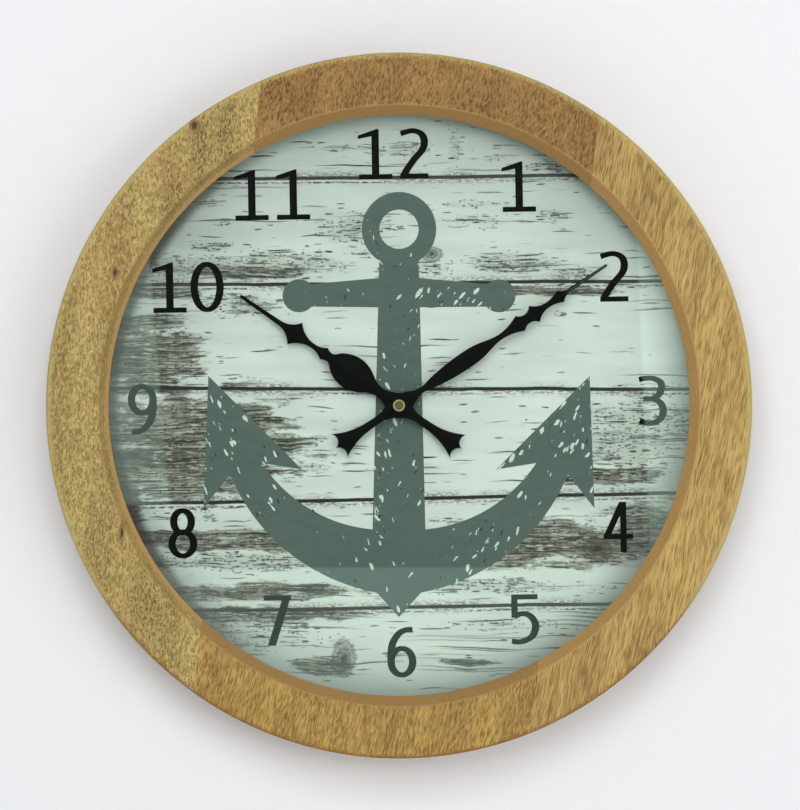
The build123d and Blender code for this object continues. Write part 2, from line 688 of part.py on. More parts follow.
def centre_wheel():
    """The wheel that the train drives and that carries the minute arbor round."""
    wheel = gear(CENTRE_TEETH, CENTRE_MODULE, -SHIFT_8, CENTRE_LAYER, CENTRE_PHASE)
    return wheel - bore(CLUTCH_SEAT_RADIUS + PIVOT_CLEARANCE)


def motion_wheel():
    """The wheel and pinion that take the minute arbor's turning down to the hour wheel."""
    turned = arbor([BACK_PIVOT, (ARBOR_RADIUS, FOOT, FLOOR_SHOULDER), FLOOR_PIVOT])
    turned += gear(MOTION_TEETH, CANNON_MODULE, -SHIFT_12, MOTION_LAYER, MOTION_PHASE)
    turned += gear(MOTION_PINION_TEETH, HOUR_MODULE, SHIFT_10, MOTION_PINION_LAYER)
    return at(MOTION, turned)


def setting_knob():
    """The knob on the back, its shaft, and the pinion that turns the motion wheel."""
    knob = cylinder(KNOB_RADIUS, KNOB_BACK, CASE_BACK - END_SHAKE)
    groove = at((KNOB_RADIUS, 0), cylinder(GRIP_RADIUS, 0, CASE_BACK))
    knob -= [Rot(0, 0, 360 * grip / KNOB_GRIPS) * groove for grip in range(KNOB_GRIPS)]
    turned = arbor([
        (SETTING_SHAFT_RADIUS, KNOB_BACK, CANNON_LAYER[0]), (ARBOR_RADIUS, CANNON_LAYER[0], FLOOR_SHOULDER),
        FLOOR_PIVOT])
    turned += gear(SETTING_TEETH, CANNON_MODULE, SHIFT_12, CANNON_LAYER, SETTING_PHASE)
    return at(SETTING, knob + turned)


def going_arbor():
    """The arbor of a wheel of the going train, between cover and bridge."""
    return arbor([BACK_PIVOT, (SLIM_ARBOR_RADIUS, FOOT, FRONT_SHOULDER), FRONT_PIVOT])


def third_wheel():
    """The wheel that drives the centre wheel."""
    wheel = gear(THIRD_TEETH, CENTRE_MODULE, -SHIFT_8, THIRD_LAYER)
    pinion = gear(THIRD_PINION_TEETH, CENTRE_MODULE, SHIFT_8, THIRD_PINION_LAYER)
    return at(THIRD, going_arbor() + wheel + pinion)


def second_wheel():
    """The wheel that turns once a minute."""
    wheel = gear(SECOND_TEETH, ROTOR_MODULE, -SHIFT_10, SECOND_LAYER)
    pinion = gear(SECOND_PINION_TEETH, CENTRE_MODULE, SHIFT_8, SECOND_PINION_LAYER, SECOND_PINION_PHASE)
    return at(SECOND, going_arbor() + wheel + pinion)


def fifth_wheel():
    """The wheel that the rotor drives."""
    wheel = gear(FIFTH_TEETH, ROTOR_MODULE, -SHIFT_12, FIFTH_LAYER)
    pinion = gear(FIFTH_PINION_TEETH, ROTOR_MODULE, SHIFT_10, FIFTH_PINION_LAYER, FIFTH_PINION_PHASE)
    return at(FIFTH, going_arbor() + wheel + pinion)


def rotor_pinion():
    """The motor's pinion and arbor, which passes through the bridge."""
    foot = ROTOR_BOSS_TOP + END_SHAKE
    turned = arbor([
        (PIVOT_RADIUS, foot - PIVOT_LENGTH, foot), (SLIM_ARBOR_RADIUS, foot, FLOOR_SHOULDER), FLOOR_PIVOT])
    return at(ROTOR, turned + gear(ROTOR_TEETH, ROTOR_MODULE, SHIFT_12, ROTOR_LAYER, ROTOR_PHASE))


def rotor_magnet():
    """The magnet on the rotor's arbor, inside the stator's pole."""
    return at(ROTOR, tube(MAGNET_RADIUS, SLIM_ARBOR_RADIUS, *MAGNET_LAYER))


# Hands, drawn as right-hand half outlines (half width, along the hand) from tail to tip


def tail_edges():
    """The flared counterweight, from its middle point to the hub: concave end, then a waist."""
    middle = (0, -38.6)
    corner = (7.4, -36.9)
    flare = Spline(corner, (4.9, -32.0), (2.5, -23.5), (2.0, -16.0), HAND_WAIST, tangents=[(-0.6, 1), (0.5, 1)])
    return [ThreePointArc(middle, (2.9, -35.6), corner), flare]


def hand(right_edges, bottom):
    """A pressed hand pointing at twelve: its outline with a ridge down the middle and a flat hub."""
    edges = [*tail_edges(), *right_edges]
    outline = make_face([*edges, *[mirror(edge, about=Plane.YZ) for edge in edges]])
    roof = make_face(Polyline(
        (-HAND_ROOF_HALF, 0), (HAND_ROOF_HALF, 0), (HAND_ROOF_HALF, HAND_EDGE), (0, HAND_RIDGE),
        (-HAND_ROOF_HALF, HAND_EDGE), close=True))
    blade = extrude(outline, HAND_RIDGE) & extrude(Plane.XZ * roof, FRAME_DIAMETER / 2, both=True)
    blade -= cylinder(HAND_HUB_RADIUS, HAND_HUB_HEIGHT, HAND_RIDGE)
    return Pos(0, 0, bottom) * (blade + cylinder(HAND_HUB_RADIUS, 0, HAND_HUB_HEIGHT))


def hour_hand():
    """Spade, small shoulder, wide barb and a thin pointer."""
    neck = (2.6, 11.1)
    notch = (2.4, 42.6)
    shoulder = (3.6, 46.4)
    waist = (1.3, 53.5)
    barb = (6.75, 64.4)
    pointer = (1.3, 74.0)
    tip = (0.8, HOUR_LENGTH)
    edges = [
        Spline(HAND_WAIST, HAND_CHEEK, (3.9, 6.6), neck, tangents=[(0.5, 1), (-0.1, 1)]),
        Spline(neck, (3.5, 16.1), (6.4, 21.1), (8.5, 27.6), (7.7, 34.3), (4.4, 40.0), notch,
               tangents=[(-0.1, 1), (-0.4, 1)]),
        ThreePointArc(notch, (2.65, 44.8), shoulder),
        ThreePointArc(shoulder, (1.9, 49.4), waist),
        ThreePointArc(waist, (2.9, 59.9), barb),
        ThreePointArc(barb, (2.9, 68.3), pointer),
        Line(pointer, tip),
        ThreePointArc(tip, (0.55, HOUR_LENGTH + 0.4), (0, HOUR_LENGTH + 0.6)),
    ]
    return Rot(0, 0, -HOUR_ANGLE) * hand(edges, HOUR_HAND_Z) - bore(COLLET_RADIUS)


def minute_hand():
    """Long leaf, two barbs side by side, a third one and a thin pointer."""
    neck = (1.5, 14.0)
    waist = (1.45, 62.0)
    first_barb = (4.5, 74.4)
    second_barb = (5.0, 83.0)
    slim = (1.45, 91.2)
    third_barb = (3.45, 99.0)
    pointer = (1.0, 104.8)
    tip = (0.7, MINUTE_LENGTH)
    edges = [
        Spline(HAND_WAIST, HAND_CHEEK, (3.6, 7.4), neck, tangents=[(0.5, 1), (-0.1, 1)]),
        Spline(neck, (2.1, 18.2), (3.5, 26.5), (4.35, 40.5), (3.6, 50.6), (2.1, 57.0), waist,
               tangents=[(-0.1, 1), (-0.05, 1)]),
        ThreePointArc(waist, (2.3, 68.6), first_barb),
        ThreePointArc(first_barb, (2.5, 78.8), second_barb),
        ThreePointArc(second_barb, (2.4, 86.6), slim),
        ThreePointArc(slim, (2.0, 95.4), third_barb),
        ThreePointArc(third_barb, (1.6, 101.3), pointer),
        Line(pointer, tip),
        ThreePointArc(tip, (0.5, MINUTE_LENGTH + 0.35), (0, MINUTE_LENGTH + 0.5)),
    ]
    return Rot(0, 0, -MINUTE_ANGLE) * hand(edges, MINUTE_HAND_Z) - bore(MINUTE_END_RADIUS)


def hour_hand_collet():
    """The flanged bush riveted into the hour hand, a push fit on the hour tube."""
    collet = cylinder(COLLET_FLANGE_RADIUS, HOUR_HAND_Z - COLLET_FLANGE_HEIGHT, HOUR_HAND_Z)
    collet += cylinder(COLLET_RADIUS, HOUR_HAND_Z, HOUR_HAND_Z + HAND_HUB_HEIGHT)
    return collet - bore(HOUR_TUBE_RADIUS)


def hand_nut():
    """The round cap nut that holds the minute hand, with a dished face."""
    bottom = MINUTE_HAND_Z + HAND_HUB_HEIGHT
    top = bottom + NUT_HEIGHT
    floor = top - NUT_DISH_DEPTH
    nut = lathe([
        (0, bottom), (NUT_RADIUS, bottom), (NUT_RADIUS, top - NUT_CHAMFER), (NUT_RADIUS - NUT_CHAMFER, top),
        (NUT_DISH_RADIUS, top), (NUT_DISH_RADIUS - NUT_DISH_DEPTH, floor), (0, floor)])
    return nut - cylinder(MINUTE_END_RADIUS, bottom, bottom + MINUTE_END_LENGTH)


# Assembly


def clock():
    """Every node's solids by name, lying on the wall plane."""
    return {
        **frame_staves(),
        "glass_lens": glass_lens(),
        "glass_spacer_ring": tube(GLASS_RADIUS, GLASS_RADIUS - SPACER_WALL, DIAL_FACE, GLASS_BACK),
        "dial_print": tube(GLASS_RADIUS - PRINT_MARGIN, DIAL_HOLE_RADIUS, BOARD_FACE, DIAL_FACE),
        "dial_board": tube(GLASS_RADIUS, DIAL_HOLE_RADIUS, BOARD_BACK, BOARD_FACE),
        "retaining_clips": around(retaining_clip(), CLIP_ANGLES),
        "clip_screws": around(clip_screw(), CLIP_ANGLES),
        "hanger_plate": hanger_plate(),
        "hanger_screws": [at(place, hanger_screw_body() - cross_recess(0)) for place in HANGER_SCREWS],
        "movement_front_case": front_case(),
        "movement_back_cover": back_cover(),
        "threaded_bushing": threaded_bushing(),
        "rubber_washer": tube(RUBBER_RADIUS, THREAD_RADIUS, CASE_FRONT, BOARD_BACK),
        "dial_washer": tube(WASHER_RADIUS, THREAD_RADIUS, DIAL_FACE, DIAL_FACE + WASHER_THICKNESS),
        "hex_nut": hex_nut(),
        "wheel_bridge": wheel_bridge(),
        "bridge_screws": [at(place, bridge_screw()) for place in BRIDGE_PILLARS],
        "stator": stator(),
        "coil_core": coil_core(),
        "coil_winding": coil_winding(),
        "circuit_board": circuit_board(),
        "driver_chip": driver_chip(),
        "quartz_crystal": quartz_crystal(),
        "battery": battery(),
        "battery_contact_positive": positive_contact(),
        "battery_contact_negative": negative_contact(),
        "hour_wheel": hour_wheel(),
        "hour_hand_collet": hour_hand_collet(),
        "hour_hand": hour_hand(),
        "minute_arbor": minute_arbor(),
        "clutch_spring": clutch_spring(),
        "minute_hand": minute_hand(),
        "hand_nut": hand_nut(),
        "centre_wheel": centre_wheel(),
        "motion_wheel": motion_wheel(),
        "setting_knob": setting_knob(),
        "third_wheel": third_wheel(),
        "second_wheel": second_wheel(),
        "fifth_wheel": fifth_wheel(),
        "rotor_pinion": rotor_pinion(),
        "rotor_magnet": rotor_magnet(),
    }


def write(name, shapes):
    """One node's file, upright and hung from the origin; a list of shapes is a group of solids."""
    group = shapes if isinstance(shapes, list) else [shapes]
    upright = Pos(0, 0, -KEYHOLE_CENTRE) * Rot(90, 0, 0)
    solids = [solid for shape in group for solid in (upright * shape).solids()]
    node = solids[0] if len(solids) == 1 else Compound(children=solids)
    export_step(node, os.path.join("parts", f"{name}.step"))


os.makedirs("parts", exist_ok=True)
for node_name, node_shapes in clock().items():
    write(node_name, node_shapes)
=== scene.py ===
# The looks of a round wooden wall clock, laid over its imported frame.
import bmesh
import bpy
import json
import math
from mathutils import Matrix, Vector
from mathutils.geometry import delaunay_2d_cdt


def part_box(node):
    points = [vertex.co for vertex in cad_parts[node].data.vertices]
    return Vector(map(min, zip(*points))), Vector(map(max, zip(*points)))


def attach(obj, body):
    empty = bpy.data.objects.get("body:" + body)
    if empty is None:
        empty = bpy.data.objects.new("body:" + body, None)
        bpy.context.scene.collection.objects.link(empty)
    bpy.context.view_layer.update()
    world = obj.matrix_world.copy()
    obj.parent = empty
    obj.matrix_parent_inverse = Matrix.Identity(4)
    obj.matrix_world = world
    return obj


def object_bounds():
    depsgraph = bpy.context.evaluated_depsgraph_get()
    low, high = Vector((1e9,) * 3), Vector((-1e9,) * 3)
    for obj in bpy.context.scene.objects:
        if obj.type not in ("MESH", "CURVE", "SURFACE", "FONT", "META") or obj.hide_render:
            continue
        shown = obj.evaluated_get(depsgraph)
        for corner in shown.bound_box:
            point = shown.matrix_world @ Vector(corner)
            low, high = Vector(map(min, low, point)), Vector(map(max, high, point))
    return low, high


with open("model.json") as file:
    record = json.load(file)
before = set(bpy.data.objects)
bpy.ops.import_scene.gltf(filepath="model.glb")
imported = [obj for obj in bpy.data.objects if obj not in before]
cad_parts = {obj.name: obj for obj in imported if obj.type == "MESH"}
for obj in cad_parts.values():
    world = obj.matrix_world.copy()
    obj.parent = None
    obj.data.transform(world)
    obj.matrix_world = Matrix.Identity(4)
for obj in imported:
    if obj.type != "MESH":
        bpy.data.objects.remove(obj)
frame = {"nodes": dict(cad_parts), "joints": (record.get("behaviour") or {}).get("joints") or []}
CAD_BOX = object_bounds()

# Places read from the frame, in metres
MM = 0.001
NODES = frame["nodes"]
HUB = Vector(next(joint["pos_m"] for joint in frame["joints"] if joint["name"] == "minute_turn"))
DIAL_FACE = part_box("dial_print")[0].y
GLASS_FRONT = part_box("glass_lens")[0].y
FRAME_FRONT = CAD_BOX[0].y
FRAME_RADIUS = CAD_BOX[1].x


def off_axis(point):
    """How far a point is from the dial's axis."""
    return math.hypot(point.x - HUB.x, point.z - HUB.z)


TOP_STAVE_POINTS = [vertex.co for vertex in NODES["frame_top_stave"].data.vertices]
BEVEL_RADIUS = min(off_axis(point) for point in TOP_STAVE_POINTS if point.y < FRAME_FRONT + 0.01 * MM)

# The photo in pixels: its size, the ring's centre and the inner edges of the glass's pale reflections
PHOTO_WIDTH, PHOTO_HEIGHT = 800, 810
RING_PIXEL = (399.0, 405.5)
VEIL_LEFT, VEIL_LEFT_FOOT, VEIL_RIGHT, VEIL_TOP = 163.5, 503.0, 641.5, 566.0
VEIL_LEFT_LEAN, VEIL_RIGHT_LEAN = 0.08, 0.044
VEIL_SOFT, VEIL_FOOT_SOFT, VEIL_TOP_SOFT = 5, 4, 3

# The size of a pixel on the ring's face, and the camera
PIXEL = 0.5033 * MM
CAMERA_DISTANCE = 1.5
SENSOR = 36.0

# The stage about the hub, in metres: each lamp's place, size and power, and the planes
LAMPS = {"key_lamp": ((-0.1, -1.7, 0.55), 0.9, 14.2), "fill_lamp": ((1.0, -1.8, -0.2), 1.2, 10.0),
         "back_lamp": ((0.4, 1.6, 0.8), 1.2, 16.0)}
ROOM_LIGHT = 0.35
VEIL_LIGHT = 2.0
WALL_HALF, CARD_HALF, FLOOR_HALF = 2.0, 0.9, 4.0
WALL_GAP = 1.0 * MM
FLOOR_DROP = 0.45

# The dial's print, in millimetres from the hub: u to the right, v up; each gap has its height and slope
PLANK_GAPS = [(116.5, 0.010), (62.4, 0.008), (8.5, -0.002), (-47.6, 0.020), (-103.1, 0.016)]
KNOTS = [((16.6, 77.2), (5.4, 3.8)), ((101.7, -73.3), (7.0, 5.6)), ((-28.2, -128.7), (6.0, 8.5)),
         ((-136.0, -25.0), (9.0, 3.4))]
DIAL_TURN = Matrix.Rotation(math.radians(1.0), 2)
NUMERAL_RADIUS = 128.0
NUMERAL_SHIFTS = {1: (-0.8, -0.2), 3: (1.5, 0.2), 5: (-1.5, 0.5), 6: (-0.8, 2.0), 7: (0.2, 2.2),
                  8: (-0.7, 0.7), 9: (-3.0, 0.4), 10: (4.4, -1.8), 11: (1.3, -2.2), 12: (0.0, 0.5)}
CAP_HEIGHT = 25.7
STEM = 3.8
BAR = 2.6
TOP = CAP_HEIGHT / 2
HIGH = TOP - BAR / 2
HALF_ADVANCE = {"0": 8.5, "1": 10.6}
PLAIN_ADVANCE = 9.1
INK = 0.04
CHIP_INK = 0.06
WELD = 0.0005

# Scratched and bare places of the printed planks: middle, half sizes and strength
SCRATCHED_PLACES = [
    ((-33.0, 131.0), (20.0, 2.2), 0.8), ((0.0, 130.0), (13.0, 4.0), 0.8),
    ((29.0, 131.0), (4.0, 10.0), 0.9), ((76.0, 122.0), (11.0, 3.0), 1.0),
    ((46.0, 126.0), (6.0, 2.5), 0.8), ((-98.0, 103.0), (9.0, 2.0), 0.8), ((-90.0, 93.0), (8.0, 2.0), 0.8),
    ((-98.0, 81.0), (14.0, 3.0), 0.9), ((-72.0, 72.0), (56.0, 8.0), 1.0),
    ((-22.0, 90.0), (20.0, 9.0), 1.0), ((38.0, 103.0), (18.0, 2.0), 0.8),
    ((46.0, 94.0), (20.0, 4.0), 0.8), ((58.0, 73.0), (34.0, 6.0), 1.0), ((88.0, 68.0), (14.0, 3.0), 0.9),
    ((79.0, 97.0), (9.0, 3.0), 0.8), ((-80.0, 52.0), (24.0, 6.0), 1.0), ((82.0, 47.0), (5.0, 2.0), 0.8),
    ((118.0, -17.0), (42.0, 24.0), 0.95), ((-80.0, -80.0), (60.0, 6.0), 1.0),
    ((-110.0, -54.0), (24.0, 4.0), 0.6), ((42.0, -92.0), (52.0, 4.5), 0.9),
    ((60.0, -112.0), (45.0, 3.0), 0.5), ((10.0, 70.0), (26.0, 4.0), 0.8),
    ((-80.0, -116.0), (46.0, 9.0), 0.6),
]
BARE_PLACES = [
    ((-76.0, 68.0), (40.0, 4.0), 0.6), ((-130.0, 24.0), (30.0, 22.0), 1.0),
    ((-120.0, 57.0), (22.0, 3.5), 0.9), ((72.0, 58.5), (50.0, 2.8), 0.9),
    ((-102.0, -20.0), (52.0, 30.0), 1.0), ((104.0, -36.0), (34.0, 4.5), 1.0),
    ((-88.0, -69.0), (52.0, 6.5), 1.0), ((-75.0, -95.0), (64.0, 4.5), 0.9),
    ((74.0, -70.0), (72.0, 12.0), 1.0), ((-72.0, -107.0), (52.0, 4.5), 0.85),
    ((-38.0, -133.0), (16.0, 5.0), 0.9), ((36.0, -131.0), (14.0, 2.0), 0.9),
    ((126.0, -60.0), (20.0, 12.0), 0.9), ((-140.0, -56.0), (10.0, 30.0), 0.8),
]

# Worn patches of the staves' wood, with middle, half sizes and strength, and knots
LEFT_PATCHES = [((-100.0, 130.0), (7.5, 32.0), 1.0), ((-87.0, 134.0), (6.5, 30.0), 1.0),
                ((-127.0, -101.0), (11.0, 24.0), 0.9), ((-113.0, 102.0), (7.0, 20.0), 0.9),
                ((-150.0, -68.0), (12.0, 26.0), 0.4)]
LEFT_KNOTS = [((-103.0, 141.0), (2.0, 3.2)), ((-142.9, 67.0), (1.3, 2.6)), ((-139.5, -64.0), (1.2, 4.5))]
TOP_PATCHES = [((-60.0, 156.0), (12.0, 14.0), 0.8), ((40.0, 150.0), (34.0, 12.0), 0.4)]
RIGHT_PATCHES = [((106.0, 128.0), (9.0, 30.0), 0.7)]

# Paint chips of the printed anchor: points on a square metre, greatest half length in millimetres and seed
CHIPS = {"pale_chips": (130000.0, 2.4, 4), "dark_chips": (50000.0, 1.6, 21)}
LEAST_CHIP = 0.35
CHIP_CORNERS = 7


# Colours


def linear(level):
    """A display level from 0 to 255 as a linear value."""
    share = level / 255
    return share / 12.92 if share <= 0.04045 else ((share + 0.055) / 1.055) ** 2.4


def colour(red, green, blue):
    """A display colour as linear values."""
    return linear(red), linear(green), linear(blue), 1.0


WARM_WOOD = colour(168, 126, 66)
SEALED_WOOD = colour(187, 147, 89)
# Painted highlight and painted shade for the frame's rounded outer edge
RIM_HIGHLIGHT = colour(210, 194, 122)
RIM_UNDERSIDE_SHADE = colour(146, 98, 48)
PAINT = colour(206, 217, 209)
STAIN = colour(144, 148, 134)
BARE_PALE = colour(138, 140, 125)
BARE_DARK = colour(64, 60, 52)
SCRATCH = colour(38, 40, 36)


# Node trees


class Wire:
    """A socket of a node tree; arithmetic on it adds Math nodes to that tree."""

    def __init__(self, tree, socket):
        self.tree = tree
        self.socket = socket

    def math(self, operation, *values):
        return self.tree.add("ShaderNodeMath", {"operation": operation}, dict(enumerate(values)))

    def __add__(self, other):
        return self.math("ADD", self, other)

    def __radd__(self, other):
        return self.math("ADD", other, self)

    def __sub__(self, other):
        return self.math("SUBTRACT", self, other)

    def __rsub__(self, other):
        return self.math("SUBTRACT", other, self)

    def __mul__(self, other):
        return self.math("MULTIPLY", self, other)

    def __rmul__(self, other):
        return self.math("MULTIPLY", other, self)

    def __truediv__(self, other):
        return self.math("DIVIDE", self, other)

    def __rtruediv__(self, other):
        return self.math("DIVIDE", other, self)

    def __abs__(self):
        return self.math("ABSOLUTE", self)

    def __lt__(self, other):
        return self.math("LESS_THAN", self, other)

    def __gt__(self, other):
        return self.math("GREATER_THAN", self, other)

    def least(self, other):
        return self.math("MINIMUM", self, other)

    def most(self, other):
        return self.math("MAXIMUM", self, other)

    def root(self):
        return self.math("SQRT", self)

    def sine(self):
        return self.math("SINE", self)

    def smooth(self, low, high):
        """0 at low and 1 at high, with a soft step between."""
        sides = {"Value": self, "From Min": low, "From Max": high}
        return self.tree.add("ShaderNodeMapRange", {"interpolation_type": "SMOOTHSTEP"}, sides)


class Tree:
    """A node tree, with one method that adds any node: its settings first, then its inputs."""

    def __init__(self, graph):
        self.graph = graph

    def add(self, kind, settings=(), inputs=(), output=0):
        node = self.graph.nodes.new(kind)
        for name, value in dict(settings).items():
            setattr(node, name, value)
        for key, value in dict(inputs).items():
            self.feed(node.inputs[key], value)
        return Wire(self, node.outputs[output]) if node.outputs else node

    def feed(self, socket, value):
        if isinstance(value, Wire):
            self.graph.links.new(value.socket, socket)
        else:
            socket.default_value = value


class Finish(Tree):
    """A material around one Principled shader, with the row frame's x, y and z to paint by."""

    def __init__(self, name, **fixed):
        self.material = bpy.data.materials.new(name)
        self.material.use_nodes = True
        super().__init__(self.material.node_tree)
        self.shader = self.graph.nodes["Principled BSDF"]
        for name, value in fixed.items():
            self.set(name.replace("_", " "), value)
        self.place = self.add("ShaderNodeTexCoord", output="Object")
        self.x, self.y, self.z = (
            self.add("ShaderNodeSeparateXYZ", inputs={0: self.place}, output=axis) for axis in range(3))

    def set(self, socket, value):
        self.feed(self.shader.inputs[socket], value)

    def vector(self, x, y, z):
        return self.add("ShaderNodeCombineXYZ", inputs={0: x, 1: y, 2: z})

    def scaled(self, *sizes):
        """The place measured in units of the given sizes along x, y and z."""
        return self.vector(*(axis / size for axis, size in zip((self.x, self.y, self.z), sizes)))

    def noise(self, place, detail=2.0, roughness=0.5):
        values = {"Vector": place, "Scale": 1.0, "Detail": detail, "Roughness": roughness}
        return self.add("ShaderNodeTexNoise", inputs=values)

    def dashes(self, place, share):
        """Soft spots of uneven strength about scattered points, kept for about a share of the points."""
        values = {"Vector": place, "Scale": 1.0}
        distance = self.add("ShaderNodeTexVoronoi", inputs=values)
        own = Wire(self, distance.socket.node.outputs["Color"])
        number = self.add("ShaderNodeSeparateColor", inputs={0: own})
        strength = Wire(self, number.socket.node.outputs["Green"])
        return distance.smooth(0.5, 0.25) * (number < share) * (0.4 + 0.6 * strength)

    def mix(self, share, first, second, blend="MIX"):
        values = {"Factor": share, 6: first, 7: second}
        return self.add("ShaderNodeMix", {"data_type": "RGBA", "blend_type": blend}, values, 2)

    def dial(self):
        """The distances to the right of the hub and above it, in millimetres."""
        return (self.x - HUB.x) / MM, (self.z - HUB.z) / MM

    def bump(self, height, depth, strength=1.0):
        values = {"Height": height, "Distance": depth, "Strength": strength}
        self.set("Normal", self.add("ShaderNodeBump", inputs=values))


# Wood of the frame


def oval(u, v, place, half):
    """Distance from a place in units of the half sizes."""
    across = (u - place[0]) / half[0]
    along = (v - place[1]) / half[1]
    return (across * across + along * along).root()


def shaded(tone, share):
    """A colour made darker or lighter by a share of its light."""
    return *(level * share for level in tone[:3]), 1.0


def browned(tone, share):
    """A colour made darker and browner."""
    return tone[0] * share, tone[1] * share * 0.86, tone[2] * share * 0.7, 1.0


def stave_wood(name, mean, tilt, wave, pore, seed, sealed, seal_tone_and_light, patches=(), knots=()):
    """Open-pored hardwood with dashes along the grain; a share of the inner bevel is smooth and sealed;
    painted highlight and shade lie on the outer edge, painted light on the bevel.
    """
    # Each stave's sealed tone is partly its own and partly painted light and shade, set against how the
    # lamps light its bevel
    seal_tone_and_light = shaded(SEALED_WOOD, seal_tone_and_light)
    wood = Finish(name, Specular_IOR_Level=0.3)
    width, length = pore
    u, v = wood.dial()
    depth = wood.y / MM + seed
    along = u * math.sin(tilt) + v * math.cos(tilt)
    bend = wood.noise(wood.vector(u / 26, depth / 30, along / 34), 2.0)
    across = u * math.cos(tilt) - v * math.sin(tilt) + (bend - 0.5) * wave

    def grained(wide, long, shift=0.0):
        """The place measured across and along the grain."""
        return wood.vector(across / wide + shift, depth / wide, along / long)

    tone = wood.noise(grained(15.0, 150.0), 3.0).smooth(0.32, 0.68)
    warm = wood.noise(grained(24.0, 60.0, 5.0), 2.0).smooth(0.45, 0.75)
    fine = wood.noise(grained(width, length), 2.0, 0.6).smooth(0.36, 0.64)
    crowd = wood.noise(grained(7.0, 40.0), 2.0).smooth(0.3, 0.65)
    worn = 0.0 * u
    for place, half, strength in patches:
        edge = oval(u, v, place, half) + (fine - 0.5) * 0.7
        worn = worn.most(edge.smooth(1.1, 0.35) * strength)
    share = 0.5 + 0.25 * crowd + 0.3 * worn
    pores = wood.dashes(grained(1.5 * width, length), share)
    pores = pores.most(wood.dashes(grained(1.2 * width, 0.55 * length, 7.3), share))
    pale = wood.dashes(grained(1.4 * width, 0.9 * length, 3.1), 0.7)
    radius = (u * u + v * v).root()
    # Lightening painted on the unsealed part of the inner bevel, against the shade the lamps leave there
    bevel = (radius - BEVEL_RADIUS / MM + (fine - 0.5) * 0.5).smooth(0.0, -0.6)
    smooth = (radius - BEVEL_RADIUS / MM + 3.6 * (1.0 - sealed) + (fine - 0.5) * 0.6).smooth(0.0, -0.8)
    # Painted light on the front of the rounded outer edge: a highlight on the sides and top, painted shade
    # along the bottom
    painted_rim_shading = (radius + 2.0 * fine - 1.0).smooth(FRAME_RADIUS / MM - 3.2, FRAME_RADIUS / MM - 0.6)
    painted_rim_shading = painted_rim_shading * (wood.y / MM).smooth(FRAME_FRONT / MM + 7.0, FRAME_FRONT / MM + 2.5)
    shade = wood.mix(0.4 * tone + 0.6 * fine, shaded(mean, 1.55), browned(mean, 0.68))
    shade = wood.mix(warm * 0.35, shade, WARM_WOOD)
    shade = wood.mix(worn * 0.45, shade, browned(mean, 0.66))
    shade = wood.mix(pale * 0.6, shade, shaded(mean, 1.75))
    hollow = wood.mix(worn, browned(mean, 0.42), browned(mean, 0.2))
    shade = wood.mix(pores * (0.75 + 0.2 * worn), shade, hollow)
    # Lay on the painted highlight and painted shade of the outer edge
    shade = wood.mix(painted_rim_shading * 0.65, shade, wood.mix(v.smooth(-80.0, -120.0), RIM_HIGHLIGHT, RIM_UNDERSIDE_SHADE))
    # Painted light: the unsealed bevel is lifted toward the stave's mean tone
    shade = wood.mix(bevel * (1.0 - sealed) * 0.3, shade, mean)
    shade = wood.mix(smooth * 0.85, shade, wood.mix(fine * 0.4, seal_tone_and_light, shaded(seal_tone_and_light, 0.8)))
    for place, half in knots:
        core = oval(u, v, place, half) + (bend - 0.5) * 0.5
        shade = wood.mix(core.smooth(1.8, 0.8) * 0.6, shade, colour(120, 66, 34))
        shade = wood.mix(core.smooth(0.8, 0.3) * 0.9, shade, colour(60, 34, 20))
    wood.set("Base Color", shade)
    wood.set("Roughness", 0.5 + 0.2 * pores + 0.1 * fine)
    wood.bump((fine * 0.3 + pale * 0.2 - pores) * (1.0 - 0.8 * smooth), 0.12 * MM, 0.35)
    return wood.material


# Dial print


def spread(u, v, places, ragged):
    """How far a spot belongs to any of some places with ragged edges."""
    most = 0.0 * u
    for place, half, strength in places:
        most = most.most((oval(u, v, place, half) + ragged).smooth(1.35, 0.35) * strength)
    return most


